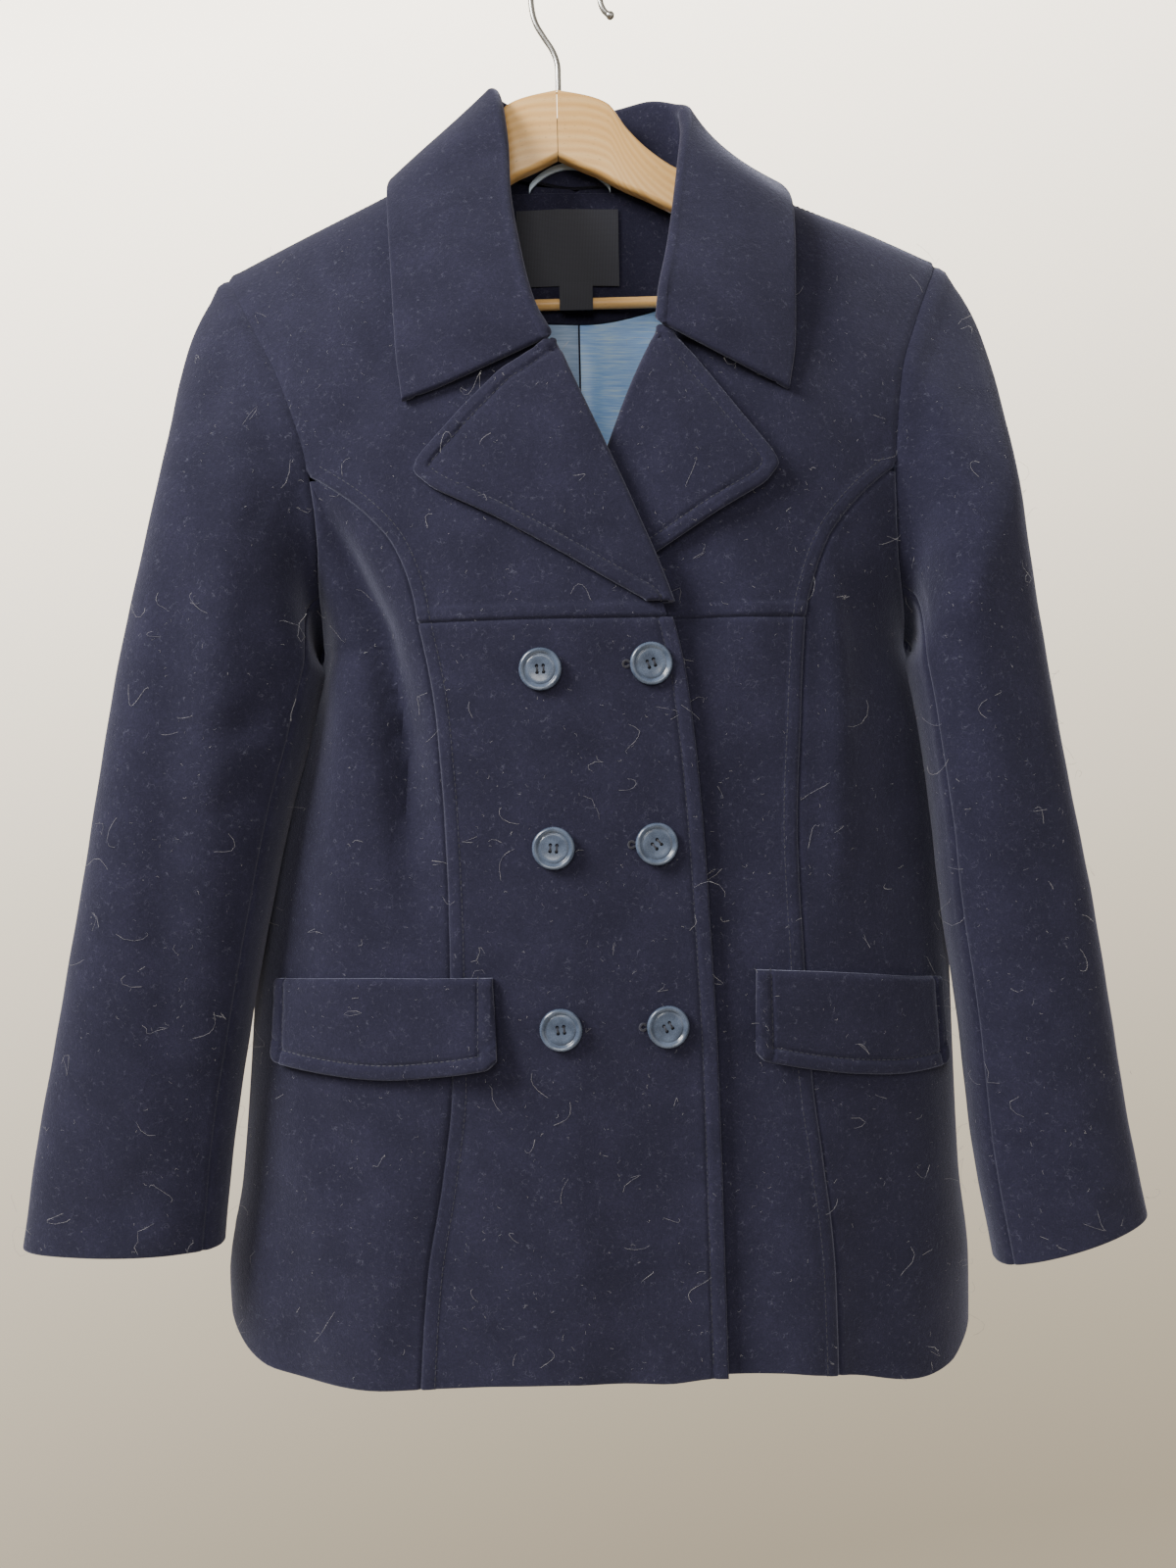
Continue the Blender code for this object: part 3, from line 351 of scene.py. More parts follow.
class Face(Enum):
    """The half of the form that faces the viewer, or the half behind."""
    FRONT = "front"
    BACK = "back"

    @property
    def way(self) -> int:
        """Sign of y on this face."""
        return -1 if self is Face.FRONT else 1


@dataclass(frozen=True)
class Crease:
    """One fold in the cloth, along a line in the elevation.

    Attributes:
        line: points (x, z, depth, breadth) along the fold; a trough has a negative depth.
        face: the face that shows it.
        skew: how much wider it is on the -X side of a line that runs down (above 0), or the +X side.
    """
    line: tuple[tuple[float, float, float, float], ...]
    face: Face = Face.FRONT
    skew: float = 0.0

    def lift(self, x: Array, z: Array) -> Array:
        """Height that the fold adds at places of the elevation."""
        best = np.full(x.shape, 1e9)
        made = np.zeros(x.shape)
        for (x0, z0, d0, w0), (x1, z1, d1, w1) in zip(self.line, self.line[1:]):
            run = (x1 - x0) ** 2 + (z1 - z0) ** 2
            f = np.clip(((x - x0) * (x1 - x0) + (z - z0) * (z1 - z0)) / run, 0, 1)
            off = np.hypot(x - x0 - (x1 - x0) * f, z - z0 - (z1 - z0) * f)
            side = np.sign((x - x0) * (z1 - z0) - (z - z0) * (x1 - x0))
            breadth = (w0 + (w1 - w0) * f) * (1 + self.skew * side)
            near = off < best
            best = np.where(near, off, best)
            made = np.where(near, (d0 + (d1 - d0) * f) * bell(off, breadth), made)
        return made


# front body: the drag below each armhole, the swing from the shoulders and the play of the hem
BODY_CREASES = (
    Crease(((-146, -340, -1.6, 6), (-136, -368, -7.0, 8), (-120, -409, -11.5, 10), (-108, -452, -12.5, 11),
            (-103, -486, -11.0, 11), (-102, -527, -7.0, 13), (-94, -576, -1.0, 17)), skew=-0.42),
    Crease(((-148, -372, 0.8, 8), (-137, -414, 4.0, 12), (-131, -462, 5.0, 13), (-134, -520, 3.4, 18),
            (-140, -590, 0.8, 24))),
    Crease(((136, -372, 0.4, 7), (137.5, -410, 2.3, 8), (138, -470, 3.0, 8.5), (136, -530, 2.2, 9),
            (133, -583, 0.4, 9))),
    Crease(((158, -400, -0.5, 12), (166, -455, -2.4, 15), (174, -533, -2.8, 17), (180, -600, -0.8, 18))),
    Crease(((-73, -668, -0.8, 7), (-79, -704, -3.2, 10), (-88, -758, -2.4, 14), (-94, -812, -0.6, 18))),
    Crease(((-156, -664, -0.4, 9), (-141, -697, -1.7, 11), (-124, -733, -0.5, 13))),
    Crease(((-118, -700, 0.3, 16), (-112, -752, 2.6, 20), (-122, -826, 3.2, 24))),
    Crease(((-176, -704, -0.3, 14), (-172, -770, -2.4, 18), (-168, -830, -3.4, 20))),
    Crease(((-24, -668, 0.2, 18), (-30, -740, 1.8, 24), (-34, -822, 2.6, 28))),
    Crease(((26, -690, -0.2, 16), (20, -752, -1.6, 20), (16, -822, -2.4, 22))),
    Crease(((108, -676, 0.3, 14), (112, -740, 2.2, 18), (110, -824, 3.0, 22))),
    Crease(((158, -684, -0.3, 14), (152, -742, -2.2, 18), (150, -830, -3.2, 20))),
    Crease(((-96, -214, -0.2, 14), (-112, -262, -1.7, 16), (-132, -306, -1.0, 14))),
    Crease(((128, -206, -0.2, 14), (142, -262, -1.9, 15), (158, -318, -0.8, 13))),
    Crease(((-64, -328, 0.3, 14), (-60, -362, 1.3, 16), (-62, -396, 0.3, 14))),
    Crease(((60, -340, -0.2, 12), (72, -372, -1.5, 13), (84, -398, -0.3, 12))),
    Crease(((-58, -452, -0.2, 14), (-50, -512, -1.1, 16), (-52, -584, -0.3, 18))),
    Crease(((88, -440, -0.2, 12), (94, -502, -1.3, 13), (96, -566, -0.2, 13))),
    Crease(((-20, -470, -0.1, 16), (6, -482, -1.0, 15), (34, -474, -0.1, 16))),
    Crease(((-12, -566, -0.1, 16), (12, -580, -1.2, 15), (34, -570, -0.1, 16))),
)

# back body: slack across the blades, drag from the armholes and the swing of the skirt
BACK_CREASES = (
    Crease(((-150, -356, -0.8, 9), (-136, -402, -3.0, 12), (-122, -462, -3.8, 14), (-118, -532, -0.8, 16)),
           Face.BACK, 0.2),
    Crease(((168, -362, -0.8, 9), (154, -412, -2.8, 12), (142, -470, -3.4, 14), (138, -540, -0.7, 16)),
           Face.BACK, -0.2),
    Crease(((-60, -196, -0.2, 14), (-20, -206, -1.6, 13), (34, -203, -1.5, 13), (74, -194, -0.2, 14)),
           Face.BACK),
    Crease(((-96, -262, 0.3, 20), (-88, -322, 2.0, 24), (-94, -392, 0.4, 22)), Face.BACK),
    Crease(((96, -262, 0.3, 20), (104, -330, 2.0, 24), (108, -398, 0.4, 22)), Face.BACK),
    Crease(((-70, -556, -0.3, 15), (-78, -664, -3.0, 20), (-86, -828, -4.0, 24)), Face.BACK),
    Crease(((-128, -600, 0.3, 18), (-136, -716, 2.8, 24), (-142, -830, 3.6, 27)), Face.BACK),
    Crease(((-30, -610, 0.3, 16), (-34, -722, 2.2, 20), (-38, -822, 2.8, 24)), Face.BACK),
    Crease(((60, -566, -0.3, 15), (70, -676, -2.8, 20), (78, -824, -3.8, 24)), Face.BACK),
    Crease(((122, -590, 0.3, 18), (130, -706, 2.6, 24), (136, -830, 3.4, 27)), Face.BACK),
    Crease(((28, -620, 0.2, 14), (30, -716, 1.8, 18), (32, -822, 2.4, 22)), Face.BACK),
    Crease(((-48, -438, -0.2, 14), (0, -452, -1.7, 15), (52, -440, -0.2, 14)), Face.BACK),
)

LEFT_SLEEVE_CREASES = (
    Crease(((-216, -330, -0.4, 12), (-223, -396, -2.6, 15), (-227, -470, -3.4, 17), (-230, -560, -3.2, 18),
            (-232, -640, -2.6, 18), (-229, -696, -0.6, 18)), skew=-0.15),
    Crease(((-190, -330, 0.6, 10), (-196, -410, 2.6, 13), (-203, -500, 2.4, 15), (-212, -632, 1.0, 17))),
    Crease(((-258, -420, 0.3, 14), (-266, -520, 1.8, 16), (-280, -640, 0.5, 18))),
    Crease(((-168, -440, -0.5, 8), (-184, -462, -2.6, 9), (-206, -470, -0.5, 11))),
    Crease(((-176, -486, -0.3, 8), (-196, -508, -1.9, 10), (-218, -512, -0.3, 12))),
    Crease(((-200, -236, -0.3, 10), (-208, -282, -2.0, 12), (-204, -326, -0.4, 12))),
    Crease(((-236, -700, -0.3, 12), (-262, -724, -2.0, 14), (-292, -736, -0.4, 14))),
    Crease(((-216, -726, 0.3, 10), (-244, -742, 1.5, 12), (-268, -752, 0.5, 12))),
    Crease(((-176, -452, -0.4, 9), (-202, -486, -2.6, 12), (-226, -500, -0.4, 14)), Face.BACK),
    Crease(((-200, -340, -0.4, 12), (-222, -440, -2.8, 16), (-240, -560, -2.2, 18), (-248, -680, -0.4, 18)),
           Face.BACK),
    Crease(((-196, -560, 0.3, 12), (-216, -610, 2.2, 15), (-226, -690, 0.6, 16)), Face.BACK),
)

RIGHT_SLEEVE_CREASES = (
    Crease(((222, -246, -0.4, 9), (228, -310, -2.3, 12), (238, -405, -2.8, 15), (246, -500, -2.0, 17),
            (256, -600, -0.5, 18)), skew=0.15),
    Crease(((196, -256, 0.4, 9), (203, -310, 2.4, 11), (208, -399, 2.8, 12), (216, -480, 2.4, 14),
            (228, -580, 0.6, 16))),
    Crease(((206, -206, 1.0, 12), (214, -214, 1.6, 14), (226, -222, 0.6, 14))),
    Crease(((198, -446, -0.5, 8), (212, -470, -2.4, 10), (232, -482, -0.4, 12))),
    Crease(((206, -520, -0.3, 9), (224, -548, -2.0, 11), (246, -556, -0.3, 13))),
    Crease(((262, -470, 0.3, 12), (274, -560, 1.7, 14), (288, -660, 0.4, 15))),
    Crease(((224, -640, -0.3, 10), (238, -688, -2.2, 13), (254, -728, -0.5, 13))),
    Crease(((268, -700, 0.3, 11), (276, -728, 1.6, 12), (280, -748, 0.4, 12))),
    Crease(((204, -450, -0.4, 9), (224, -482, -2.6, 12), (246, -498, -0.4, 14)), Face.BACK),
    Crease(((212, -330, -0.4, 12), (232, -430, -2.6, 15), (250, -560, -2.0, 17), (262, -680, -0.4, 18)),
           Face.BACK),
    Crease(((216, -590, 0.3, 11), (236, -650, 2.0, 14), (246, -720, 0.5, 14)), Face.BACK),
)


def unevenness(x: Array, z: Array, shift: float = 0.0) -> Array:
    """Slow, shallow unevenness of hung wool, a sum of waves that never line up."""
    return (0.34 * np.sin(x / 17.3 + z / 61.0 + 1.3 + shift) * np.sin(z / 43.7 - x / 91.0 + 0.4)
            + 0.30 * np.sin(z / 23.9 + x / 37.1 + 2.1 + shift) * np.sin(x / 29.3 + 0.9)
            + 0.16 * np.sin(x / 9.7 - z / 13.1 + shift) * np.sin(z / 11.3 + x / 17.9 + 0.6))


@dataclass(frozen=True)
class CoatForm:
    """The closed coat's form, which every layer of cloth lies on.

    Attributes:
        front_round: drop over which the front rounds out from the shoulder ridge.
        back_round: the same for the back.
        relief: how strongly the folds are laid on, 1 for their own depth.
    """
    front_round: float = 140.0
    back_round: float = 35.0
    relief: float = 1.25

    def half_width(self, z: Array, x: Array) -> Array:
        """Half the form's width at a level, on the side that x is on."""
        return np.where(np.asarray(x) < 0, read(FORM, "left", z), read(FORM, "right", z))

    def ridge_y(self, x: Array) -> Array:
        """The shoulder ridge, which bends back outwards."""
        return RIDGE_SWEEP * np.abs(np.asarray(x, float) - HANGER_X)

    def profile(self, x: Array, z: Array, face: Face) -> tuple[Array, Array, Array]:
        """Depth of the section at a level, and what is left of it at x.

        Returns:
            The depth in millimetres, then two shares whose product is squared: across the section and
            down from the shoulder, each below zero outside the form.
        """
        depth = read(FORM, face.value, z)
        reach = self.front_round if face is Face.FRONT else self.back_round
        drop = curve(SHOULDER, x) - z
        across = 1 - (x / self.half_width(z, x)) ** 4
        over = 1 - (1 - np.minimum(drop / reach, 1.0)) ** 2
        return depth, across, over

    def swell(self, x: Array, y: Array, z: Array, face: Face) -> Array:
        """How far a point is outside the form: below zero inside, above it outside."""
        depth, across, over = self.profile(x, z, face)
        return ((y - self.ridge_y(x)) / depth) ** 2 - across * over

    def skin_y(self, x: Array, z: Array, face: Face) -> Array:
        """The form's front or back at a place of its elevation."""
        depth, across, over = self.profile(x, z, face)
        across, over = np.maximum(across, 0.0), np.maximum(over, 0.0)
        return self.ridge_y(x) + face.way * depth * np.sqrt(across * over)

    def normal(self, x: Array, y: Array, z: Array, face: Face) -> Array:
        """Outward direction of the form's surface at each point."""
        step = 0.05
        return unit(np.stack([self.swell(x + step, y, z, face) - self.swell(x - step, y, z, face),
                              self.swell(x, y + step, z, face) - self.swell(x, y - step, z, face),
                              self.swell(x, y, z + step, face) - self.swell(x, y, z - step, face)], -1))

    def under_drop(self, x: Array, z: Array) -> Array:
        """How far the right front lies below the form where the left front covers it."""
        edge = read(FRONT_EDGE, "left", z)
        deep = UNDER_DROP + (OVERLAP_DROP - UNDER_DROP) * smooth((z + 440) / 40)
        return deep * smooth((edge + 50 - x) / 46) * smooth((-255 - z) / 40)

    def folds(self, x: Array, z: Array, face: Face) -> Array:
        """Height of the folds and unevenness, which die away at the sides and the neck."""
        made = sum(c.lift(x, z) for c in (BODY_CREASES if face is Face.FRONT else BACK_CREASES))
        made = made + unevenness(x, z, 0.0 if face is Face.FRONT else 2.0)
        sides = smooth((self.half_width(z, x) - np.abs(x) - 3) / 22)
        top = smooth((curve(SHOULDER, x) - z - 6) / 40)
        return self.relief * made * sides * top

    def place(self, x: Array, z: Array, face: Face, lift: Array | float = 0.0, under: bool = False) -> Array:
        """Points of the folded form.

        Args:
            x, z: places of the elevation.
            face: front or back.
            lift: height off the form, along its normal.
            under: True for the front that the other covers.

        Returns:
            The points, with a last axis of three.
        """
        x, z = np.asarray(x, float), np.asarray(z, float)
        y = self.skin_y(x, z, face)
        high = self.folds(x, z, face) + lift
        points = np.stack([x, y, z], -1) + self.normal(x, y, z, face) * high[..., None]
        if under:
            points[..., 1] += self.under_drop(x, z)
        return points

    def push_out(self, point: Array, clearance: float) -> Array:
        """A point moved out, where it must be, until it is clear of the form's surface."""
        point = np.array(point, float)
        for _ in range(12):
            face = Face.FRONT if point[1] < self.ridge_y(point[0]) else Face.BACK
            way = self.normal(point[0], point[1], point[2], face)
            here = self.swell(*point, face)
            rise = (self.swell(*(point + way * 0.1), face) - here) / 0.1
            short = clearance - here / rise
            if short < 0.01:
                break
            point = point + way * short
        return point


# ---------------------------------------------------------------------------------------------
# Cloth walls: two grids, their rim, and what pressing and stitching do along each edge
# ---------------------------------------------------------------------------------------------

class Edge(Enum):
    """How an edge of a cloth piece is finished."""
    SEAM = "seam"          # stitched to its neighbour and pulled in
    LAPPED = "lapped"      # a seam whose allowances lie this way, under a row of topstitch
    PRESSED = "pressed"    # turned, pressed flat and topstitched
    FREE = "free"          # turned or cut, with no topstitch
    SET = "set"            # a sleeve set into its armhole, or the armhole's own edge
    HIDDEN = "hidden"      # runs under another piece

    @property
    def offsets(self) -> tuple[float, ...]:
        """Where the grid needs lines beside the edge, in millimetres from it."""
        return {
            Edge.SEAM: (0.3, 0.8, 1.5, 2.5, 4.0, 6.2),
            Edge.LAPPED: (0.3, 0.8, 1.5, 3.0, 5.0, 6.6, 7.5, 8.1, 8.7, 9.4, 10.6, 13.0),
            Edge.PRESSED: (0.12, 0.4, 0.8, 1.3, 2.4, 4.2, 5.8, 6.9, 7.5, 8.0, 8.5, 9.2, 10.4, 12.6),
            Edge.FREE: (0.12, 0.4, 0.8, 1.3, 2.6, 5.0),
            Edge.SET: (0.3, 0.8, 1.5, 2.5, 4.0, 6.2),
            Edge.HIDDEN: (),
        }[self]

    def lift(self, away: Array, radius: float) -> Array:
        """Height that the edge adds to the outer face.

        Args:
            away: distance from the edge.
            radius: half the wall's thickness, which a free edge is rounded to.
        """
        if self is Edge.SEAM:
            return -0.8 * bell(away, 0.9) + 0.3 * bell(away - 3.6, 2.4)
        if self is Edge.SET:
            return 0.3 * bell(away - 3.6, 2.4) - 0.1 * bell(away, 0.8)
        if self is Edge.LAPPED:
            band = 0.85 * smooth(away / 1.6) * (1 - smooth((away - 8.0) / 1.6))
            return band - 0.9 * bell(away, 0.8) - 0.6 * bell(away - 8.1, 0.9)
        if self is Edge.PRESSED:
            band = 0.5 * (1 - smooth((away - 6.2) / 2.6))
            return band - 1.05 * bell(away - STITCH_IN, 1.15) - self.nose(away, radius)
        if self is Edge.FREE:
            return -self.nose(away, radius)
        return np.zeros(away.shape)

    def nose(self, away: Array, radius: float) -> Array:
        """How far a rounded edge falls below the face."""
        if self not in (Edge.PRESSED, Edge.FREE):
            return np.zeros(away.shape)
        run = np.clip(radius - away, 0, radius)
        return 0.9 * (radius - np.sqrt(np.maximum(radius ** 2 - run ** 2, 0)))


STITCH_IN = 8.0        # the topstitch lies this far in from a pressed edge
BODY_STEP = 4.6        # greatest gap between grid lines on the body and the sleeves
FINE_STEP = 3.0        # the same on the collar, the lapels and the flaps


def to_line(points: Array, line: Array) -> Array:
    """Least distance from each point to a chain of straight runs."""
    flat = points.reshape(-1, 3)
    best = np.full(len(flat), 1e9)
    for a, b in zip(line[:-1], line[1:]):
        run = b - a
        size = run @ run
        if size < 1e-9:
            continue
        f = np.clip((flat - a) @ run / size, 0, 1)
        best = np.minimum(best, np.linalg.norm(flat - a - f[:, None] * run, axis=1))
    return best.reshape(points.shape[:-1])


def lengths(line: Array) -> Array:
    """Distance run at each point of a chain, from its start."""
    return np.concatenate([[0.0], np.cumsum(np.linalg.norm(np.diff(line, axis=0), axis=1))])


def grid_normals(grid: Array, sign: float = 1.0) -> Array:
    """Normals of a grid of points, from its rows and columns."""
    across = np.gradient(grid, axis=1)
    down = np.gradient(grid, axis=0)
    return unit(np.cross(across, down)) * sign


@dataclass
class Hem:
    """One finished edge of a wall: its line and its kind."""
    line: Array
    kind: Edge


@dataclass
class Wall:
    """A closed wall of cloth.

    Attributes:
        name: name of the piece.
        base: grid of points on the outer face, before its edges are pressed.
        way: the outward direction at each of them.
        thick: the wall's thickness.
        hems: the finished edges.
        extra: more height for both faces, one number a point.
    """
    name: str
    base: Array
    way: Array
    thick: float
    hems: list[Hem] = field(default_factory=list)
    extra: Array | float = 0.0

    def __post_init__(self) -> None:
        """Lays the edges on, once the base is known."""
        lift = np.zeros(self.base.shape[:2])
        nose = np.zeros(self.base.shape[:2])
        self.away = []
        for hem in self.hems:
            away = to_line(self.base, hem.line)
            self.away.append(away)
            one = hem.kind.lift(away, self.thick / 2)
            drop = hem.kind.nose(away, self.thick / 2)
            lift += one + drop
            nose = np.maximum(nose, drop)
        both = np.asarray(self.extra)[..., None] if np.ndim(self.extra) else self.extra
        self.outer = self.base + self.way * (lift - nose)[..., None] + self.way * both
        self.inner = self.base + self.way * (nose - self.thick)[..., None] + self.way * both

    @property
    def flat(self) -> tuple[float, float]:
        """Width and length of the cut cloth in metres, from the longest row and column."""
        wide = max(lengths(row)[-1] for row in self.base)
        long = max(lengths(self.base[:, c])[-1] for c in range(self.base.shape[1]))
        return math.ceil(wide) * MM, math.ceil(long) * MM

    @property
    def area(self) -> float:
        """Area of the cut cloth in square metres."""
        a, b = self.base[:-1, :-1], self.base[1:, :-1]
        c, d = self.base[1:, 1:], self.base[:-1, 1:]
        twice = (np.linalg.norm(np.cross(b - a, c - a), axis=-1)
                 + np.linalg.norm(np.cross(c - a, d - a), axis=-1))
        return float(twice.sum() / 2) * MM * MM

    def stitches(self, hem: int, along_rows: bool, inset: float = STITCH_IN,
                 clear: Iterable[int] = ()) -> list[Array]:
        """Runs of topstitch, on the outer face beside one edge.

        Args:
            hem: which edge.
            along_rows: True where the edge is a column, so that each row crosses it.
            inset: distance from the edge.
            clear: other edges that the run stops short of, at the same distance.

        Returns:
            Chains of points, in millimetres.
        """
        outer, away = self.outer, self.away[hem]
        others = [self.away[k] for k in clear]
        if not along_rows:
            outer, away = outer.transpose(1, 0, 2), away.T
            others = [o.T for o in others]
        runs: list[list[Array]] = [[]]
        for k, (row, gaps) in enumerate(zip(outer, away)):
            order = slice(None) if gaps[0] < gaps[-1] else slice(None, None, -1)
            gaps, row = gaps[order], row[order]
            peak = int(np.argmax(gaps > inset))
            hit = gaps[peak] > inset and gaps[0] < inset and peak > 0
            if hit:
                f = (inset - gaps[peak - 1]) / (gaps[peak] - gaps[peak - 1])
                point = row[peak - 1] + (row[peak] - row[peak - 1]) * f
                hit = all(np.interp(f, [0, 1], other[k][order][peak - 1:peak + 1]) >= inset - 0.05
                          for other in others)
            if hit:
                runs[-1].append(point)
            elif runs[-1]:
                runs.append([])
        return [np.array(run) for run in runs if len(run) > 2]

    def build(self, finish: bpy.types.Material) -> bpy.types.Object:
        """Makes the piece's mesh.

        Args:
            finish: its material.

        Returns:
            The new object, at the origin.
        """
        rows, cols = self.base.shape[:2]
        count = rows * cols
        index = np.arange(count).reshape(rows, cols)
        a, b = index[:-1, :-1].ravel(), index[:-1, 1:].ravel()
        c, d = index[1:, 1:].ravel(), index[1:, :-1].ravel()
        faces = [np.stack([a, b, c, d], 1), np.stack([a, d, c, b], 1) + count]
        rim = np.concatenate([index[0, :], index[1:, -1], index[-1, -2::-1], index[-2:0:-1, 0]])
        after = np.roll(rim, -1)
        faces.append(np.stack([rim, rim + count, after + count, after], 1))
        points = np.concatenate([self.outer.reshape(-1, 3), self.inner.reshape(-1, 3)])
        faces = np.concatenate(faces)
        p = points[faces]
        turned = (np.cross(p[:, 1] - p[:, 0], p[:, 2] - p[:, 0])
                  + np.cross(p[:, 2] - p[:, 0], p[:, 3] - p[:, 0]))
        if (p.mean(1) * turned).sum() < 0:
            faces = faces[:, ::-1]
        wide = np.median(np.array([lengths(row) for row in self.base]), axis=0)
        long = lengths(self.base[:, cols // 2])
        chart = np.stack(np.broadcast_arrays(wide[None, :], -long[:, None]), -1).reshape(-1, 2) * MM
        return mesh_object(self.name + "_cloth", points, faces, finish, np.concatenate([chart, chart]))


def put(name: str, data: bpy.types.ID) -> bpy.types.Object:
    """A new object of some data, linked to the scene."""
    item = bpy.data.objects.new(name, data)
    bpy.context.scene.collection.objects.link(item)
    return item


def mesh_object(name: str, points: Array, faces: Array | list, finish: bpy.types.Material,
                chart: Array | None = None, sharp: float = 50.0) -> bpy.types.Object:
    """Makes an object from points in millimetres.

    Args:
        name: its name.
        points: an array of points.
        faces: rows of point numbers.
        finish: its material.
        chart: UV place of each point, in metres.
        sharp: angle in degrees past which an edge stays sharp.

    Returns:
        The object, linked to the scene, at the origin.
    """
    mesh = bpy.data.meshes.new(name)
    mesh.from_pydata((np.asarray(points, float) * MM).tolist(), [], np.asarray(faces).tolist()
                     if isinstance(faces, np.ndarray) else faces)
    mesh.update()
    if chart is not None:
        layer = mesh.uv_layers.new(name="cut")
        spot = np.empty(len(mesh.loops), np.int32)
        mesh.loops.foreach_get("vertex_index", spot)
        layer.data.foreach_set("uv", np.asarray(chart, np.float32)[spot].ravel())
    mesh.shade_smooth()
    mesh.set_sharp_from_angle(angle=math.radians(sharp))
    mesh.materials.append(finish)
    return put(name, mesh)


# ---------------------------------------------------------------------------------------------
# Body panels
# ---------------------------------------------------------------------------------------------

@dataclass
class Body:
    """The eight panels that close round the body.

    Attributes:
        form: what they lie on.
        neck_z: top of each shoulder seam, left and right.
        proud: how far the top front's free edge stands out.
    """
    form: CoatForm
    neck_z: tuple[float, float] = (-118.4, -127.7)
    proud: float = 2.4

    def shoulder_x(self, z: Array, side: Side) -> Array:
        """Where the shoulder seam crosses each level."""
        near = np.full(np.shape(z), 60.0 * side.out)
        far = np.full(np.shape(z), side.tip_x)
        for _ in range(30):
            middle = (near + far) / 2
            above = curve(SHOULDER, middle) > z
            near, far = np.where(above, middle, near), np.where(above, far, middle)
        return near

    def side_x(self, z: Array, side: Side, face: Face) -> Array:
        """The side seam's place, held short by the seam gap along the section."""
        depth = read(FORM, face.value, z)
        wide = self.form.half_width(z, np.full(np.shape(z), side.out))
        return side.out * wide * np.sin(math.pi / 2 - SEAM / (depth * math.sqrt(2)))

    @staticmethod
    def levels(top: float, bottom: float, high: Edge, low: Edge, fine_above: float | None = None) -> Array:
        """Levels of a panel from top to bottom, closer by its edges and on the shoulder."""
        f = spread(top - bottom, BODY_STEP, high.offsets, low.offsets)
        made = top + (bottom - top) * f
        if fine_above is not None:
            made = np.concatenate([made, np.arange(top - 1.2, fine_above, -1.3)])
        return np.unique(np.round(made, 3))[::-1]

    def section(self, z: Array, start: Array, end: Array, share: Array) -> Array:
        """Places across each level, evenly round the form's section."""
        wide = self.form.half_width(z, np.where(np.abs(end) > np.abs(start), start * 0 + end, start))
        a = np.arcsin(np.clip(start / wide, -1, 1))
        b = np.arcsin(np.clip(end / wide, -1, 1))
        return wide[:, None] * np.sin(a[:, None] + (b - a)[:, None] * share[None, :])

    def panel(self, name: str, x: Array, z: Array, face: Face, side: Side, hems: Callable[[Array], list[Hem]],
              extra: Callable[[Array, Array], Array] | None = None) -> Wall:
        """A panel from its grid of places.

        Args:
            name: the piece.
            x, z: places of the elevation, rows down and columns across.
            face, side: where it is.
            hems: given the base grid, its edges.
            extra: more height, from x and z.

        Returns:
            The wall.
        """
        under = face is Face.FRONT and side is Side.RIGHT
        base = self.form.place(x, z, face, 0.0, under)
        ridge = np.abs(curve(SHOULDER, x) - z) < 0.5
        base[..., 1] += np.where(ridge, SEAM * face.way, 0)
        way = self.form.normal(x, self.form.skin_y(x, z, face), z, face)
        more = extra(x, z) if extra else 0.0
        return Wall(name, base, way, CLOTH, hems(base), more)

    def edge_lift(self, x: Array, z: Array) -> Array:
        """The top front's free edge, which curls a little off the front beneath it."""
        away = read(FRONT_EDGE, "left", z) - x
        return self.proud * bell(away, 13.0) * smooth((-400 - z) / 40)

    def yoke(self, side: Side) -> Wall:
        """The upper front, from the shoulder to the cross seam."""
        top = self.neck_z[0 if side is Side.LEFT else 1]
        z = self.levels(top, YOKE_Z, Edge.HIDDEN, Edge.LAPPED, TIP_Z)
        upper, seams = z >= TIP_Z, z >= PRINCESS_Z
        start = np.where(upper, self.shoulder_x(z, side) - side.out * 0.05,
                         np.where(seams, read(ARMHOLE_FRONT, side.value, z),
                                  read(PRINCESS, side.value, z)) - side.out * SEAM)
        end = np.where(z > -250, read(NECK_FRONT, side.value, z) + side.out * SEAM,
                       read(FRONT_EDGE, side.value, z) + side.out * 3.2)
        share = spread(150, BODY_STEP, Edge.LAPPED.offsets, (1.0, 2.5))
        x = self.section(z, start, end, share)
        z = z.copy()
        z[-1] += SEAM
        low = int(np.argmin(np.abs(z - PRINCESS_Z)))
        tip = int(np.argmin(np.abs(z - TIP_Z)))
        grid_z = np.broadcast_to(z[:, None], x.shape)
        return self.panel("front_yoke_" + side.value, x, grid_z, Face.FRONT, side,
                          lambda g: [Hem(g[tip:low + 1, 0], Edge.SET), Hem(g[low:, 0], Edge.LAPPED),
                                     Hem(g[:tip + 1, 0], Edge.SEAM), Hem(g[-1], Edge.LAPPED)])

    def lower(self, side: Side) -> Wall:
        """The front below the cross seam; its free edge is the coat's opening."""
        z = self.levels(YOKE_Z - SEAM, FOOT_Z, Edge.SEAM, Edge.FREE)
        start = read(PRINCESS, side.value, z) - side.out * SEAM
        end = read(FRONT_EDGE, side.value, z)
        share = spread(146, BODY_STEP, Edge.LAPPED.offsets, Edge.PRESSED.offsets)
        x = start[:, None] + (end - start)[:, None] * share[None, :]
        x, grid_z = self.hang(x, z)
        kind = Edge.PRESSED if side is Side.LEFT else Edge.FREE
        return self.panel("front_lower_" + side.value, x, grid_z, Face.FRONT, side,
                          lambda g: [Hem(g[:, 0], Edge.LAPPED), Hem(g[:, -1], kind), Hem(g[0], Edge.SEAM),
                                     Hem(g[-1], Edge.FREE)],
                          self.edge_lift if side is Side.LEFT else None)

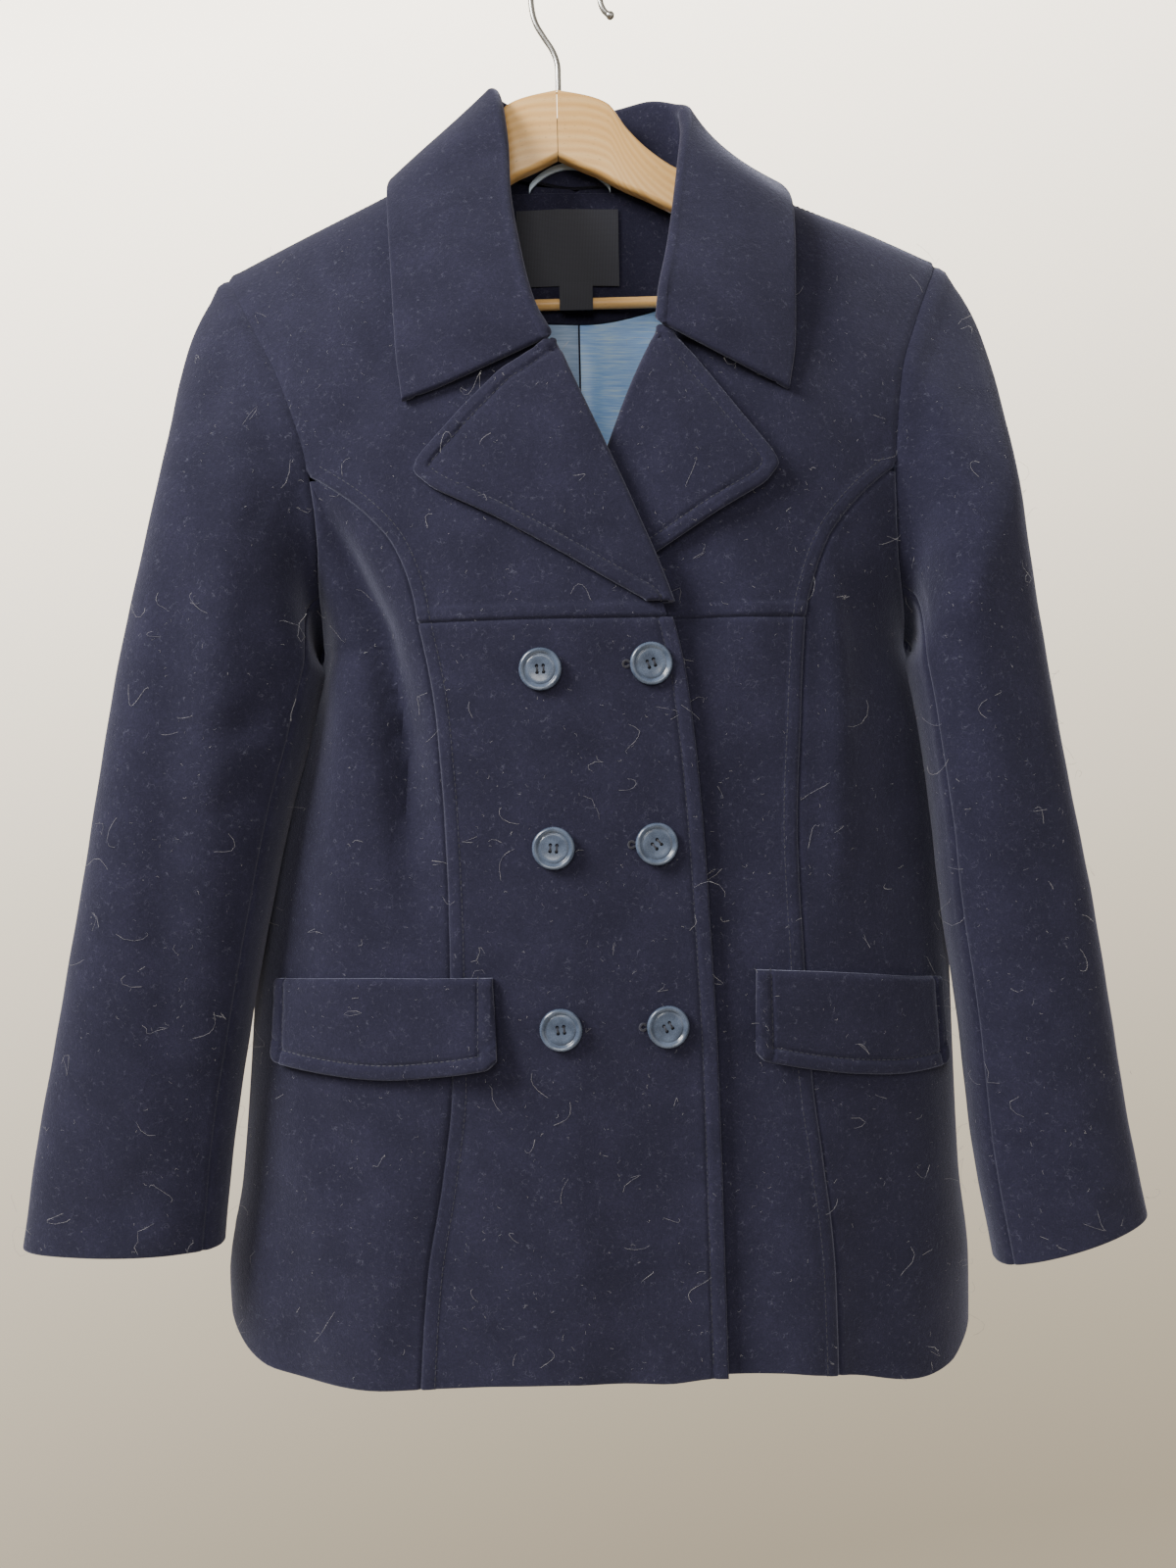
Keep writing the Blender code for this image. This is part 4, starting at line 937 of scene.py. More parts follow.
    @staticmethod
    def hang(x: Array, z: Array) -> tuple[Array, Array]:
        """Carries the lowest levels onto the hem's own line."""
        z = np.broadcast_to(z[:, None], x.shape)
        part = smooth((-700 - z) / 128)
        top = z[-1, 0]
        return x, z + part * (curve(HEM, x) - top)

    def side_front(self, side: Side) -> Wall:
        """The panel between the princess seam, the armhole and the side seam."""
        z = self.levels(PRINCESS_Z - 3, FOOT_Z, Edge.SEAM, Edge.FREE)
        start = read(PRINCESS, side.value, z) + side.out * SEAM
        edge = self.side_x(z, side, Face.FRONT)
        hole = np.abs(read(ARMHOLE_FRONT, side.value, z) - side.out * SEAM)
        end = np.where(z >= UNDERARM_Z, side.out * np.minimum(hole, np.abs(edge)), edge)
        x = self.section(z, start, end, spread(150, BODY_STEP, Edge.SEAM.offsets, Edge.SEAM.offsets))
        x, grid_z = self.hang(x, z)
        return self.panel("side_front_" + side.value, x, grid_z, Face.FRONT, side,
                          lambda g: [Hem(g[:, 0], Edge.SEAM), Hem(g[:, -1], Edge.SEAM),
                                     Hem(g[-1], Edge.FREE)])

    def back(self, side: Side) -> Wall:
        """Half of the back, from the shoulder seam to the hem."""
        top = self.neck_z[0 if side is Side.LEFT else 1]
        z = self.levels(top, FOOT_Z, Edge.HIDDEN, Edge.FREE, TIP_Z)
        edge = self.side_x(z, side, Face.BACK)
        hole = np.abs(read(ARMHOLE_BACK, side.value, z) - side.out * SEAM)
        below = np.where(z >= UNDERARM_Z, side.out * np.minimum(hole, np.abs(edge)), edge)
        start = np.where(z >= TIP_Z, self.shoulder_x(z, side) - side.out * 0.05, below)
        end = np.where(z > FACING_Z, read(NECK_BACK, side.value, z), side.out * SEAM)
        x = self.section(z, start, end, spread(215, BODY_STEP, Edge.SEAM.offsets, Edge.SEAM.offsets))
        x, grid_z = self.hang(x, z)
        low = int(np.argmin(np.abs(z - FACING_Z)))
        return self.panel("back_" + side.value, x, grid_z, Face.BACK, side,
                          lambda g: [Hem(g[:, 0], Edge.SEAM), Hem(g[low:, -1], Edge.SEAM),
                                     Hem(g[-1], Edge.FREE)])


# ---------------------------------------------------------------------------------------------
# Sleeves
# ---------------------------------------------------------------------------------------------

ARMHOLE_LEVELS = [-208, -229, -250, -269, -295, -322, -325, -345, -365, -388, -408, -418]


@dataclass
class Sleeve:
    """A two-piece sleeve, set into its armhole and hanging straight.

    Attributes:
        form: the coat's form, which the armhole lies on.
        side: which arm.
        around: grid lines round the sleeve.
        along: grid lines between the last ring of the head and the cuff.
        seams: where the two pieces meet, in twenty-fourths of a turn from the outer fold.
    """
    form: CoatForm
    side: Side
    around: int = 144
    along: int = 96
    head: int = 20
    seams: tuple[int, int] = (10, 19)

    @property
    def rows(self) -> list[SleeveRow]:
        """The sleeve's own sections."""
        return SLEEVE_LEFT if self.side is Side.LEFT else SLEEVE_RIGHT

    @property
    def creases(self) -> tuple[Crease, ...]:
        """The sleeve's own folds."""
        return LEFT_SLEEVE_CREASES if self.side is Side.LEFT else RIGHT_SLEEVE_CREASES

    def armhole(self, turn: Array) -> Array:
        """The armhole seam at each place round it, from the shoulder tip down the front and back up."""
        low = len(ARMHOLE_LEVELS)
        keys = [(0, float(curve(SHOULDER, self.side.tip_x)))]
        keys += list(enumerate(ARMHOLE_LEVELS, 1))
        step = np.where(turn <= low, turn, 2 * low - turn)
        z = np.interp(step, [k for k, _ in keys], [v for _, v in keys])
        front = self.form.place(read(ARMHOLE_FRONT, self.side.value, z), z, Face.FRONT)
        back = self.form.place(read(ARMHOLE_BACK, self.side.value, z), z, Face.BACK)
        loop = np.where((turn <= low)[:, None], front, back)
        for end, level in ((0, keys[0][1]), (low, UNDERARM_Z)):
            wide = self.form.half_width(level, self.side.out) if end else abs(self.side.tip_x)
            x = self.side.out * float(wide)
            hub = np.array([x, float(self.form.ridge_y(x)), level])
            gap = np.abs(turn - end)
            if end == 0:
                gap = np.minimum(gap, TURN - gap)
            loop = np.where((gap < 0.02)[:, None], hub, loop)
        return loop

    def ring(self, at: float, turn: Array) -> Array:
        """One section: outer fold, front, inner fold, back."""
        keys = range(len(self.rows))
        out_x, out_z, in_x, in_z, front, back = (
            float(curve([(k, getattr(self.rows[k], name)) for k in keys], at)) for name in SleeveRow._fields)
        angle = 2 * math.pi * turn / TURN
        across = (1 - np.cos(angle)) / 2
        bow = np.sign(np.sin(angle)) * np.abs(np.sin(angle)) ** 0.8
        return np.stack([out_x + (in_x - out_x) * across, (front + back) / 2 - (back - front) / 2 * bow,
                         out_z + (in_z - out_z) * across], -1)

    def turns(self) -> Array:
        """Places round the sleeve, closer beside the two seams, in twenty-fourths of a turn."""
        even = np.arange(self.around) * TURN / self.around
        close = [seam + side * gap for seam in self.seams for side in (-1, 1)
                 for gap in (0.0, 0.03, 0.07, 0.12, 0.2, 0.32, 0.47, 0.66)]
        return np.unique(np.round(np.concatenate([even, close]), 4))

    def grid(self) -> Array:
        """The sleeve's outer face, ring by ring from the armhole to the cuff."""
        turn = self.turns()
        start = self.armhole(turn) - np.array([self.side.out * 0.3, 0, 0])
        first, second = self.ring(0, turn), self.ring(1, turn)
        reach = np.linalg.norm(first - start, axis=1, keepdims=True)
        top = np.maximum(np.cos(2 * math.pi * turn / TURN), 0)
        leave = unit(np.stack([np.full(len(turn), float(self.side.out)), 0 * turn, -0.35 - 0.55 * top], -1))
        leave = leave * reach * 0.85
        arrive = unit(second - first) * reach * 0.9
        rings = []
        for f in np.linspace(0, 1, self.head, endpoint=False) ** 1.25:
            rings.append(start * (1 + 2 * f) * (1 - f) ** 2 + leave * f * (1 - f) ** 2
                         + first * f * f * (3 - 2 * f) + arrive * f * f * (f - 1))
        last = len(self.rows) - 1
        for f in spread(440, 440 / self.along, (), Edge.FREE.offsets):
            rings.append(self.ring(f * last, turn))
        return np.array(rings)

    def walls(self) -> list[Wall]:
        """The upper and the under sleeve."""
        turn, grid = self.turns(), self.grid()
        looped = np.concatenate([grid[:, -1:], grid, grid[:, :1]], axis=1)
        way = (grid_normals(looped)[:, 1:-1]) * self.side.out
        if np.median((way * (grid - grid.mean(axis=1, keepdims=True))).sum(-1)) < 0:
            way = -way
        x, z = grid[..., 0], grid[..., 2]
        front = smooth((-way[..., 1] + 0.15) / 0.6)
        back = smooth((way[..., 1] + 0.15) / 0.6)
        folds = sum(c.lift(x, z) * (front if c.face is Face.FRONT else back) for c in self.creases)
        folds = folds + unevenness(x, z, 1.1 * self.side.out)
        hole = to_line(grid, np.concatenate([grid[0], grid[0][:1]]))
        cap = smooth((np.cos(2 * math.pi * turn / TURN) + 0.3) / 1.0)[None, :]
        folds = folds * smooth(hole / 26) + 2.0 * cap * bell(hole - 7.5, 5.0)
        marks = {seam: int(np.argmin(np.abs(turn - seam))) for seam in self.seams}
        a, b = (marks[seam] for seam in self.seams)
        count = len(turn)
        picks = {"sleeve_upper_": list(range(b, count)) + list(range(a + 1)),
                 "sleeve_under_": list(range(a, b + 1))}
        made = []
        for name, pick in picks.items():
            base = (grid + way * folds[..., None])[:, pick]
            for end, beside in ((0, 1), (-1, -2)):
                base[:, end] += unit(base[:, beside] - base[:, end]) * SEAM
            made.append(Wall(name + self.side.value, base, way[:, pick], CLOTH,
                             [Hem(base[:, 0], Edge.SEAM), Hem(base[:, -1], Edge.SEAM),
                              Hem(base[0], Edge.SEAM), Hem(base[-1], Edge.FREE)]))
        return made


# ---------------------------------------------------------------------------------------------
# Lapels, collar and flaps: two layers of wool, turned, pressed and topstitched
# ---------------------------------------------------------------------------------------------

@dataclass
class Lapel:
    """The facing turned back over the roll line, on top of its own front."""
    form: CoatForm
    side: Side
    lift_left: float = 0.9
    lift_right: float = 2.7
    overhang: float = 2.8      # how far the layer runs beneath, past the roll
    roll_out: float = 3.6      # how far the roll stands beyond its line

    def wall(self) -> Wall:
        """Makes the lapel's wall."""
        rows = LAPEL_LEFT if self.side is Side.LEFT else LAPEL_RIGHT
        low = self.lift_left if self.side is Side.LEFT else self.lift_right
        under, out = self.side is Side.RIGHT, self.side.out
        top, bottom = rows[0].z, rows[-1].z
        z = top + (bottom - top) * spread(top - bottom, 2.2, Edge.FREE.offsets, Edge.FREE.offsets)
        roll, edge = read(rows, "roll", z), self.outline(rows, z)
        share = spread(100, FINE_STEP, (), Edge.PRESSED.offsets)
        radius = (HEAVY + low + CLOTH) / 2
        turns = np.radians(np.linspace(0, 180, 15)[1:-1])
        upper, lower = [], []

        def line(x: Array, height: Array | float) -> Array:
            """One line of the wall, down the front."""
            return self.form.place(x, z, Face.FRONT, height, under)

        for f in (1.0, 0.5, 0.0):
            upper.append(line(roll + out * self.overhang * f, -CLOTH))
            lower.append(line(roll + out * self.overhang * f, 0.0))
        for a in turns:
            upper.append(line(roll - out * self.roll_out * math.sin(a),
                              radius - CLOTH - radius * math.cos(a)))
            lower.append(line(roll - out * 0.45 * math.sin(a), low / 2 - low / 2 * math.cos(a)))
        for f in share:
            x = roll + (edge - roll) * f
            rise = low + 0.8 * math.sin(math.pi * f) + self.curl(f, z)
            upper.append(line(x, rise + HEAVY))
            lower.append(line(x, rise))
        outer, inner = np.stack(upper, 1), np.stack(lower, 1)
        way = unit(outer - inner)
        leaf = len(upper) - len(share)
        wall = Wall("lapel_" + self.side.value, outer, way, HEAVY,
                    [Hem(outer[:, -1], Edge.PRESSED), Hem(outer[-1, leaf:], Edge.FREE),
                     Hem(outer[0, leaf:], Edge.PRESSED)])
        away = np.linalg.norm(outer - inner, axis=-1)
        wall.inner = wall.inner + way * (HEAVY - away)[..., None]
        return wall

    @staticmethod
    def outline(rows: Sequence[EdgeRow], z: Array) -> Array:
        """The free edge: straight runs, with its point only slightly rounded."""
        keys = [row.z for row in rows][::-1]
        values = [row.outer for row in rows][::-1]
        return sum(np.interp(z + shift, keys, values) for shift in (-1.6, 0.0, 1.6)) / 3

    @staticmethod
    def curl(share: float, z: Array) -> Array:
        """The point stands off the chest a little more than the rest."""
        return 1.8 * share ** 3 * bell(z + 322, 26)


@dataclass
class Collar:
    """The turned collar: a stand along the neck seam and a leaf that falls over it."""
    form: CoatForm
    gaps: int = 9              # grid lines between two ribs
    roll_radius: float = HEAVY / 2 + 0.5

    def rib(self, neck: Array, roll: Array, leaf: Array, crown: float) -> Array:
        """The middle of the collar's thickness along one rib, from neck seam to free edge."""
        up = unit(roll - neck)
        away = leaf - roll
        away = unit(away - up * (away @ up))
        top = roll - up * self.roll_radius
        line = [neck + (top - neck) * f for f in np.linspace(0, 1, 8)]
        hub = top + away * self.roll_radius
        for a in np.radians(np.linspace(0, 180, 13)[1:]):
            line.append(hub - away * self.roll_radius * math.cos(a) + up * self.roll_radius * math.sin(a))
        start = line[-1]
        size = np.linalg.norm(leaf - start)
        for f in spread(70, FINE_STEP, (), Edge.PRESSED.offsets)[1:]:
            point = start + (leaf - start) * f + away * crown * size * math.sin(math.pi * f)
            line.append(self.form.push_out(point, HEAVY / 2 + LEAF_CLEAR))
        return np.array(line)

    def wall(self) -> Wall:
        """Makes the collar's wall."""
        rows = list(reversed(COLLAR_LEFT)) + COLLAR_RIGHT
        table = np.array([[*row.neck, *row.roll, *row.leaf, row.crown] for row in rows], float)
        last = len(rows) - 1
        ends = spread(20 * last, 20 / self.gaps, Edge.PRESSED.offsets, Edge.PRESSED.offsets) * last
        values = np.stack([curve(list(zip(range(last + 1), line)), ends) for line in table.T], 1)
        middle = np.array([self.rib(v[:3], v[3:6], v[6:9], v[9]) for v in values])
        way = grid_normals(middle)
        if way[len(way) // 2, -5, 2] < 0:
            way = -way
        leaf = 20
        outer = middle + way * HEAVY / 2
        return Wall("collar", outer, way, HEAVY,
                    [Hem(outer[:, -1], Edge.PRESSED), Hem(outer[0, leaf:], Edge.PRESSED),
                     Hem(outer[-1, leaf:], Edge.PRESSED), Hem(outer[0, :leaf + 1], Edge.FREE),
                     Hem(outer[-1, :leaf + 1], Edge.FREE)])


@dataclass
class Flap:
    """A pocket flap, sewn along its top and proud at its free edge."""
    form: CoatForm
    side: Side
    rise: float = 0.9
    corner: float = 5.0        # radius of its lower corners

    def wall(self) -> Wall:
        """Makes the flap's wall."""
        rows = FLAP_LEFT if self.side is Side.LEFT else FLAP_RIGHT
        share = spread(124, FINE_STEP, Edge.PRESSED.offsets, Edge.PRESSED.offsets)
        wide = float(self.form.half_width(-630, rows[-1].x if self.side is Side.RIGHT else rows[0].x))
        a, b = math.asin(rows[0].x / wide), math.asin(rows[-1].x / wide)
        x = wide * np.sin(a + (b - a) * share)
        high = read(rows, "top", x, "x")
        low = read(rows, "bottom", x, "x")
        corner = np.clip(self.corner - np.minimum(x - x[0], x[-1] - x), 0, self.corner)
        low = low + self.corner - np.sqrt(self.corner ** 2 - corner ** 2) - 1.1 * np.sin(x / 21.0 + 0.8)
        down = spread(50, FINE_STEP, Edge.LAPPED.offsets, Edge.PRESSED.offsets)
        grid_x = np.broadcast_to(x[None, :], (len(down), len(x)))
        grid_z = high[None, :] + (low - high)[None, :] * down[:, None]
        lift = CLEAR + 0.3 + self.rise * down[:, None] + self.stand(grid_x, down[:, None])
        base = self.form.place(grid_x, grid_z, Face.FRONT, lift + HEAVY)
        way = grid_normals(base)
        if np.median(way[..., 1]) > 0:
            way = -way
        sewn = (HEAVY * 0.45) * bell(down[:, None] * 50, 2.5) * np.ones_like(grid_x)
        return Wall("flap_" + self.side.value, base, way, HEAVY,
                    [Hem(base[:, 0], Edge.PRESSED), Hem(base[:, -1], Edge.PRESSED),
                     Hem(base[-1], Edge.PRESSED), Hem(base[0], Edge.SEAM)], -sewn * 0.3)

    def stand(self, x: Array, down: Array) -> Array:
        """How far the flap has curled off the pocket, most at its inner corner."""
        if self.side is Side.LEFT:
            return (6.5 * smooth((x + 100) / 46) + 2.2 * smooth((-140 - x) / 36)) * down ** 2
        return (3.2 * smooth((124 - x) / 36) + 2.4 * smooth((x - 168) / 28)) * down ** 2


# ---------------------------------------------------------------------------------------------
# Inside the neck: facing, pleated lining, labels and hanging loop
# ---------------------------------------------------------------------------------------------

@dataclass
class Inside:
    """What shows through the neck, on the inner side of the back."""
    form: CoatForm
    depth: float = -CLOTH - INSIDE_CLEAR
    facing_low: tuple = ((-160, -178), (-110, -205), (-50, -214), (0, -217), (60, -205), (115, -182),
                         (150, -170))
    facing_top: tuple = ((-118, -150), (-80, -140), (-50, -138.5), (0, -139), (55, -138.5), (90, -146),
                         (122, -156))

    def sheet(self, name: str, x: Array, z: Array, lift: Array | float, thick: float,
              kinds: Sequence[Edge]) -> Wall:
        """A wall that lies inside the back; kinds are its left, right, top and bottom edges."""
        base = self.form.place(x, z, Face.BACK, lift)
        way = self.form.normal(x, self.form.skin_y(x, z, Face.BACK), z, Face.BACK)
        outer = base - way * thick
        lines = (outer[:, 0], outer[:, -1], outer[0], outer[-1])
        return Wall(name, outer, -way, thick, [Hem(line, kind) for line, kind in zip(lines, kinds)])

    def facing(self) -> Wall:
        """The wool facing at the back of the neck."""
        x = np.linspace(-118, 122, 66)
        f = spread(65, 3.5, Edge.FREE.offsets, Edge.FREE.offsets)[:, None]
        z = curve(self.facing_top, x) * (1 - f) + curve(self.facing_low, x) * f
        return self.sheet("back_neck_facing", np.broadcast_to(x, z.shape), z, self.depth, LINING,
                          (Edge.FREE, Edge.FREE, Edge.FREE, Edge.FREE))

    def lining(self, side: Side) -> Wall:
        """Half of the satin back lining, folded into a soft pleat down its middle."""
        z = LINING_TOP - LINING_DROP * spread(LINING_DROP, 5.0, (0.6, 1.5, 3), Edge.FREE.offsets)
        reach = self.form.half_width(z, np.full(z.shape, side.out)) - 26
        hole = np.abs(read(ARMHOLE_BACK, side.value, z)) - 14
        reach = np.where(z > UNDERARM_Z, np.minimum(reach, hole), reach)
        share = spread(180, 4.0, (0.6, 1.4, 2.4, 4, 6, 8, 10, 12.5), (1.0,))
        a = np.arcsin(0.6 / self.form.half_width(z, np.full(z.shape, side.out)))
        wide = self.form.half_width(z, np.full(z.shape, side.out))
        b = np.arcsin(reach / wide)
        x = side.out * wide[:, None] * np.sin(a[:, None] + (b - a)[:, None] * share[None, :])
        top = curve(self.facing_low, x) - 0.6
        grid = np.broadcast_to(z[:, None], x.shape)
        grid = np.where(np.arange(len(z))[:, None] == 0, np.minimum(top, -200), grid)
        away = np.abs(x)
        slack = 1.1 * bell(away - 7, 5) + 0.9 * np.sin(away / 19 + grid / 60) * smooth(away / 60)
        slack = slack * smooth((-222 - grid) / 30)
        return self.sheet("lining_back_" + side.value, x, grid, self.depth - slack, LINING,
                          (Edge.HIDDEN, Edge.HIDDEN, Edge.HIDDEN, Edge.FREE))

    def label(self) -> Wall:
        """The bare woven neck label, sewn down on the facing."""
        x, z = np.linspace(-36, 25, 40), np.linspace(-149, -194.5, 34)
        grid_x, grid_z = np.meshgrid(x, z)
        rise = 0.5 * np.sin(grid_x / 9.0) * smooth((-152 - grid_z) / 30)
        return self.sheet("label_main", grid_x, grid_z, self.depth - LINING - CLEAR - 0.3 - rise, 0.7,
                          (Edge.HIDDEN,) * 4)

    def size_tab(self) -> Wall:
        """The bare size tab, which hangs from the label's lower edge."""
        f, x = np.linspace(0, 1, 16)[:, None], np.linspace(-11, 9, 18)[None, :]
        f, x = np.broadcast_arrays(f, x)
        base = np.stack([x, 6.6 - 0.9 * f - 1.4 * f * f, -195.5 - 17 * f], -1)
        way = np.broadcast_to(np.array([0.0, -1.0, 0.0]), base.shape)
        return Wall("label_size", base, way, 0.8)

    def loop(self) -> Wall:
        """The hanging loop: a flat satin band in its own arch."""
        f, w = np.linspace(0, 1, 41)[:, None], np.linspace(0, 1, 7)[None, :]
        f, w = np.broadcast_arrays(f, w)
        arch = 14 * np.sin(math.pi * f) ** 0.7
        base = np.stack([-28 + 49 * f, LOOP_Y + 0 * f, -136 + arch - LOOP_WIDE * w], -1)
        base[..., 1] -= 0.5 * np.sin(math.pi * w)
        way = np.broadcast_to(np.array([0.0, -1.0, 0.0]), base.shape)
        return Wall("hanging_loop", base, way, LINING)


# ---------------------------------------------------------------------------------------------
# Hanger
# ---------------------------------------------------------------------------------------------

@dataclass
class Hanger:
    """The plain hanger: two shaped beech arms mitred at the middle, a dowel bar and a wire hook."""
    form: CoatForm
    half: float = 5.6
    round: float = 3.4
    sides: int = 40
    bar_y: float = 10.6
    bar_radius: float = 3.4
    tip_radius: float = 2.5

    def arm(self, side: Side, finish: bpy.types.Material) -> bpy.types.Object:
        """One arm, its edges rounded over."""
        reach = np.unique(np.concatenate([np.linspace(0.2, 60, 34), np.linspace(60, 171.9, 30), [172.0],
                                          np.linspace(172.6, 186, 10), [188.5, 190, 190.7, 191.0]]))
        tops = read(ARM, side.value + "_top", reach, "reach")
        deep = read(ARM, "depth", reach, "reach")
        angle = np.arange(self.sides) * 2 * math.pi / self.sides
        cos, sin = np.cos(angle), np.sin(angle)
        rings, chart = [], []
        for r, top, depth in zip(reach, tops, deep):
            x = HANGER_X + side.out * r
            y = float(self.form.ridge_y(x)) - ARM_FORWARD
            close = 1 - 0.25 * smooth((r - 188) / 3)
            flat_y, flat_z = self.half - self.round, depth / 2 - self.round
            over = np.sign(cos) * flat_y * (np.abs(cos) > 0.02) + self.round * cos
            up = np.sign(sin) * flat_z * (np.abs(sin) > 0.02) + self.round * sin
            ring = np.stack([np.full(self.sides, x), y + over * close, top - depth / 2 + up * close], -1)
            rings.append(ring)
            around = lengths(np.concatenate([ring, ring[:1]]))[:-1]
            chart.append(np.stack([np.full(self.sides, r), around], -1) * MM)
        points = np.array(rings).reshape(-1, 3)
        faces: list = []
        for k in range(len(rings) - 1):
            for i in range(self.sides):
                j = (i + 1) % self.sides
                near, far = k * self.sides, (k + 1) * self.sides
                face = [near + i, near + j, far + j, far + i]
                faces.append(face if side.out > 0 else face[::-1])
        first = list(range(self.sides))
        last = [v + (len(rings) - 1) * self.sides for v in first]
        faces.append(first[::-1] if side.out > 0 else first)
        faces.append(last if side.out > 0 else last[::-1])
        return mesh_object("wood_arm_" + side.value, points, faces, finish,
                           np.array(chart).reshape(-1, 2), sharp=38)

    def bar(self, finish: bpy.types.Material) -> bpy.types.Object:
        """The dowel between the arms."""
        reach = ARM[9].reach - 0.3
        ends = (np.array([HANGER_X - reach, self.bar_y, -208]),
                np.array([HANGER_X + reach, self.bar_y, -206]))
        path = [ends[0] + (ends[1] - ends[0]) * f for f in np.linspace(0, 1, 60)]
        return tube("wood_bar", path, [self.bar_radius] * 60, finish, 28)

    def hook(self, finish: bpy.types.Material) -> bpy.types.Object:
        """The wire hook, with a ball pressed on its tip."""
        knots = [(k, x, z) for k, (x, z) in enumerate(HOOK_PATH)]
        at = np.linspace(0, len(knots) - 1, 150)
        x, z = rounded([k[1:] for k in knots], at).T
        path = np.stack([x, 0 * x, z], -1)
        radii = np.full(len(at), HOOK_RADIUS)
        from_tip = lengths(path)[-1] - lengths(path)
        ball = np.sqrt(np.maximum(self.tip_radius ** 2 - (from_tip - self.tip_radius) ** 2, 0.0))
        radii = np.where(from_tip < 2 * self.tip_radius, np.maximum(ball, 0.05), radii)
        radii = np.where(from_tip > self.tip_radius, np.maximum(radii, HOOK_RADIUS), radii)
        return tube("wire_hook", path, radii, finish, 24)


def rounded(knots: Sequence[Sequence[float]], at: Array) -> Array:
    """A smooth chain through knots (Catmull-Rom), read at knot numbers."""
    pts = np.array(knots, float)
    pts = np.concatenate([[2 * pts[0] - pts[1]], pts, [2 * pts[-1] - pts[-2]]])
    i = np.clip(np.floor(at).astype(int), 0, len(pts) - 4)
    f = (at - i)[:, None]
    a, b, c, d = pts[i], pts[i + 1], pts[i + 2], pts[i + 3]
    return 0.5 * (2 * b + (c - a) * f + (2 * a - 5 * b + 4 * c - d) * f * f
                  + (3 * b - a - 3 * c + d) * f ** 3)


def tube(name: str, path: Sequence, radii: Sequence[float], finish: bpy.types.Material,
         sides: int) -> bpy.types.Object:
    """A closed tube along a chain of points.

    Args:
        name: its name.
        path: points in millimetres.
        radii: its radius at each point.
        finish: its material.
        sides: how many faces go round it.

    Returns:
        The object, its UV map along and round it in metres.
    """
    path = np.array(path, float)
    ahead = unit(np.gradient(path, axis=0))
    aside = np.array([0.0, 1.0, 0.0]) if abs(ahead[0][1]) < 0.9 else np.array([1.0, 0.0, 0.0])
    across = unit(np.cross(ahead, aside))
    over = unit(np.cross(across, ahead))
    angle = np.arange(sides) * 2 * math.pi / sides
    ring = across[:, None] * np.cos(angle)[None, :, None] + over[:, None] * np.sin(angle)[None, :, None]
    points = path[:, None] + ring * np.asarray(radii, float)[:, None, None]
    faces = [[k + i, k + (i + 1) % sides, k + sides + (i + 1) % sides, k + sides + i]
             for k in range(0, (len(path) - 1) * sides, sides) for i in range(sides)]
    faces += [list(range(sides))[::-1], [v + (len(path) - 1) * sides for v in range(sides)]]
    along = lengths(path)
    chart = np.stack([np.repeat(along, sides), np.tile(angle * np.mean(radii), len(path))], -1) * MM
    item = mesh_object(name, points.reshape(-1, 3), faces, finish, chart)
    outward(item)
    return item


def outward(item: bpy.types.Object) -> None:
    """Turns every face of a closed mesh outwards."""
    form = bmesh.new()
    form.from_mesh(item.data)
    bmesh.ops.recalc_face_normals(form, faces=form.faces)
    form.to_mesh(item.data)
    form.free()


# ---------------------------------------------------------------------------------------------
# Buttons and buttonholes
# ---------------------------------------------------------------------------------------------

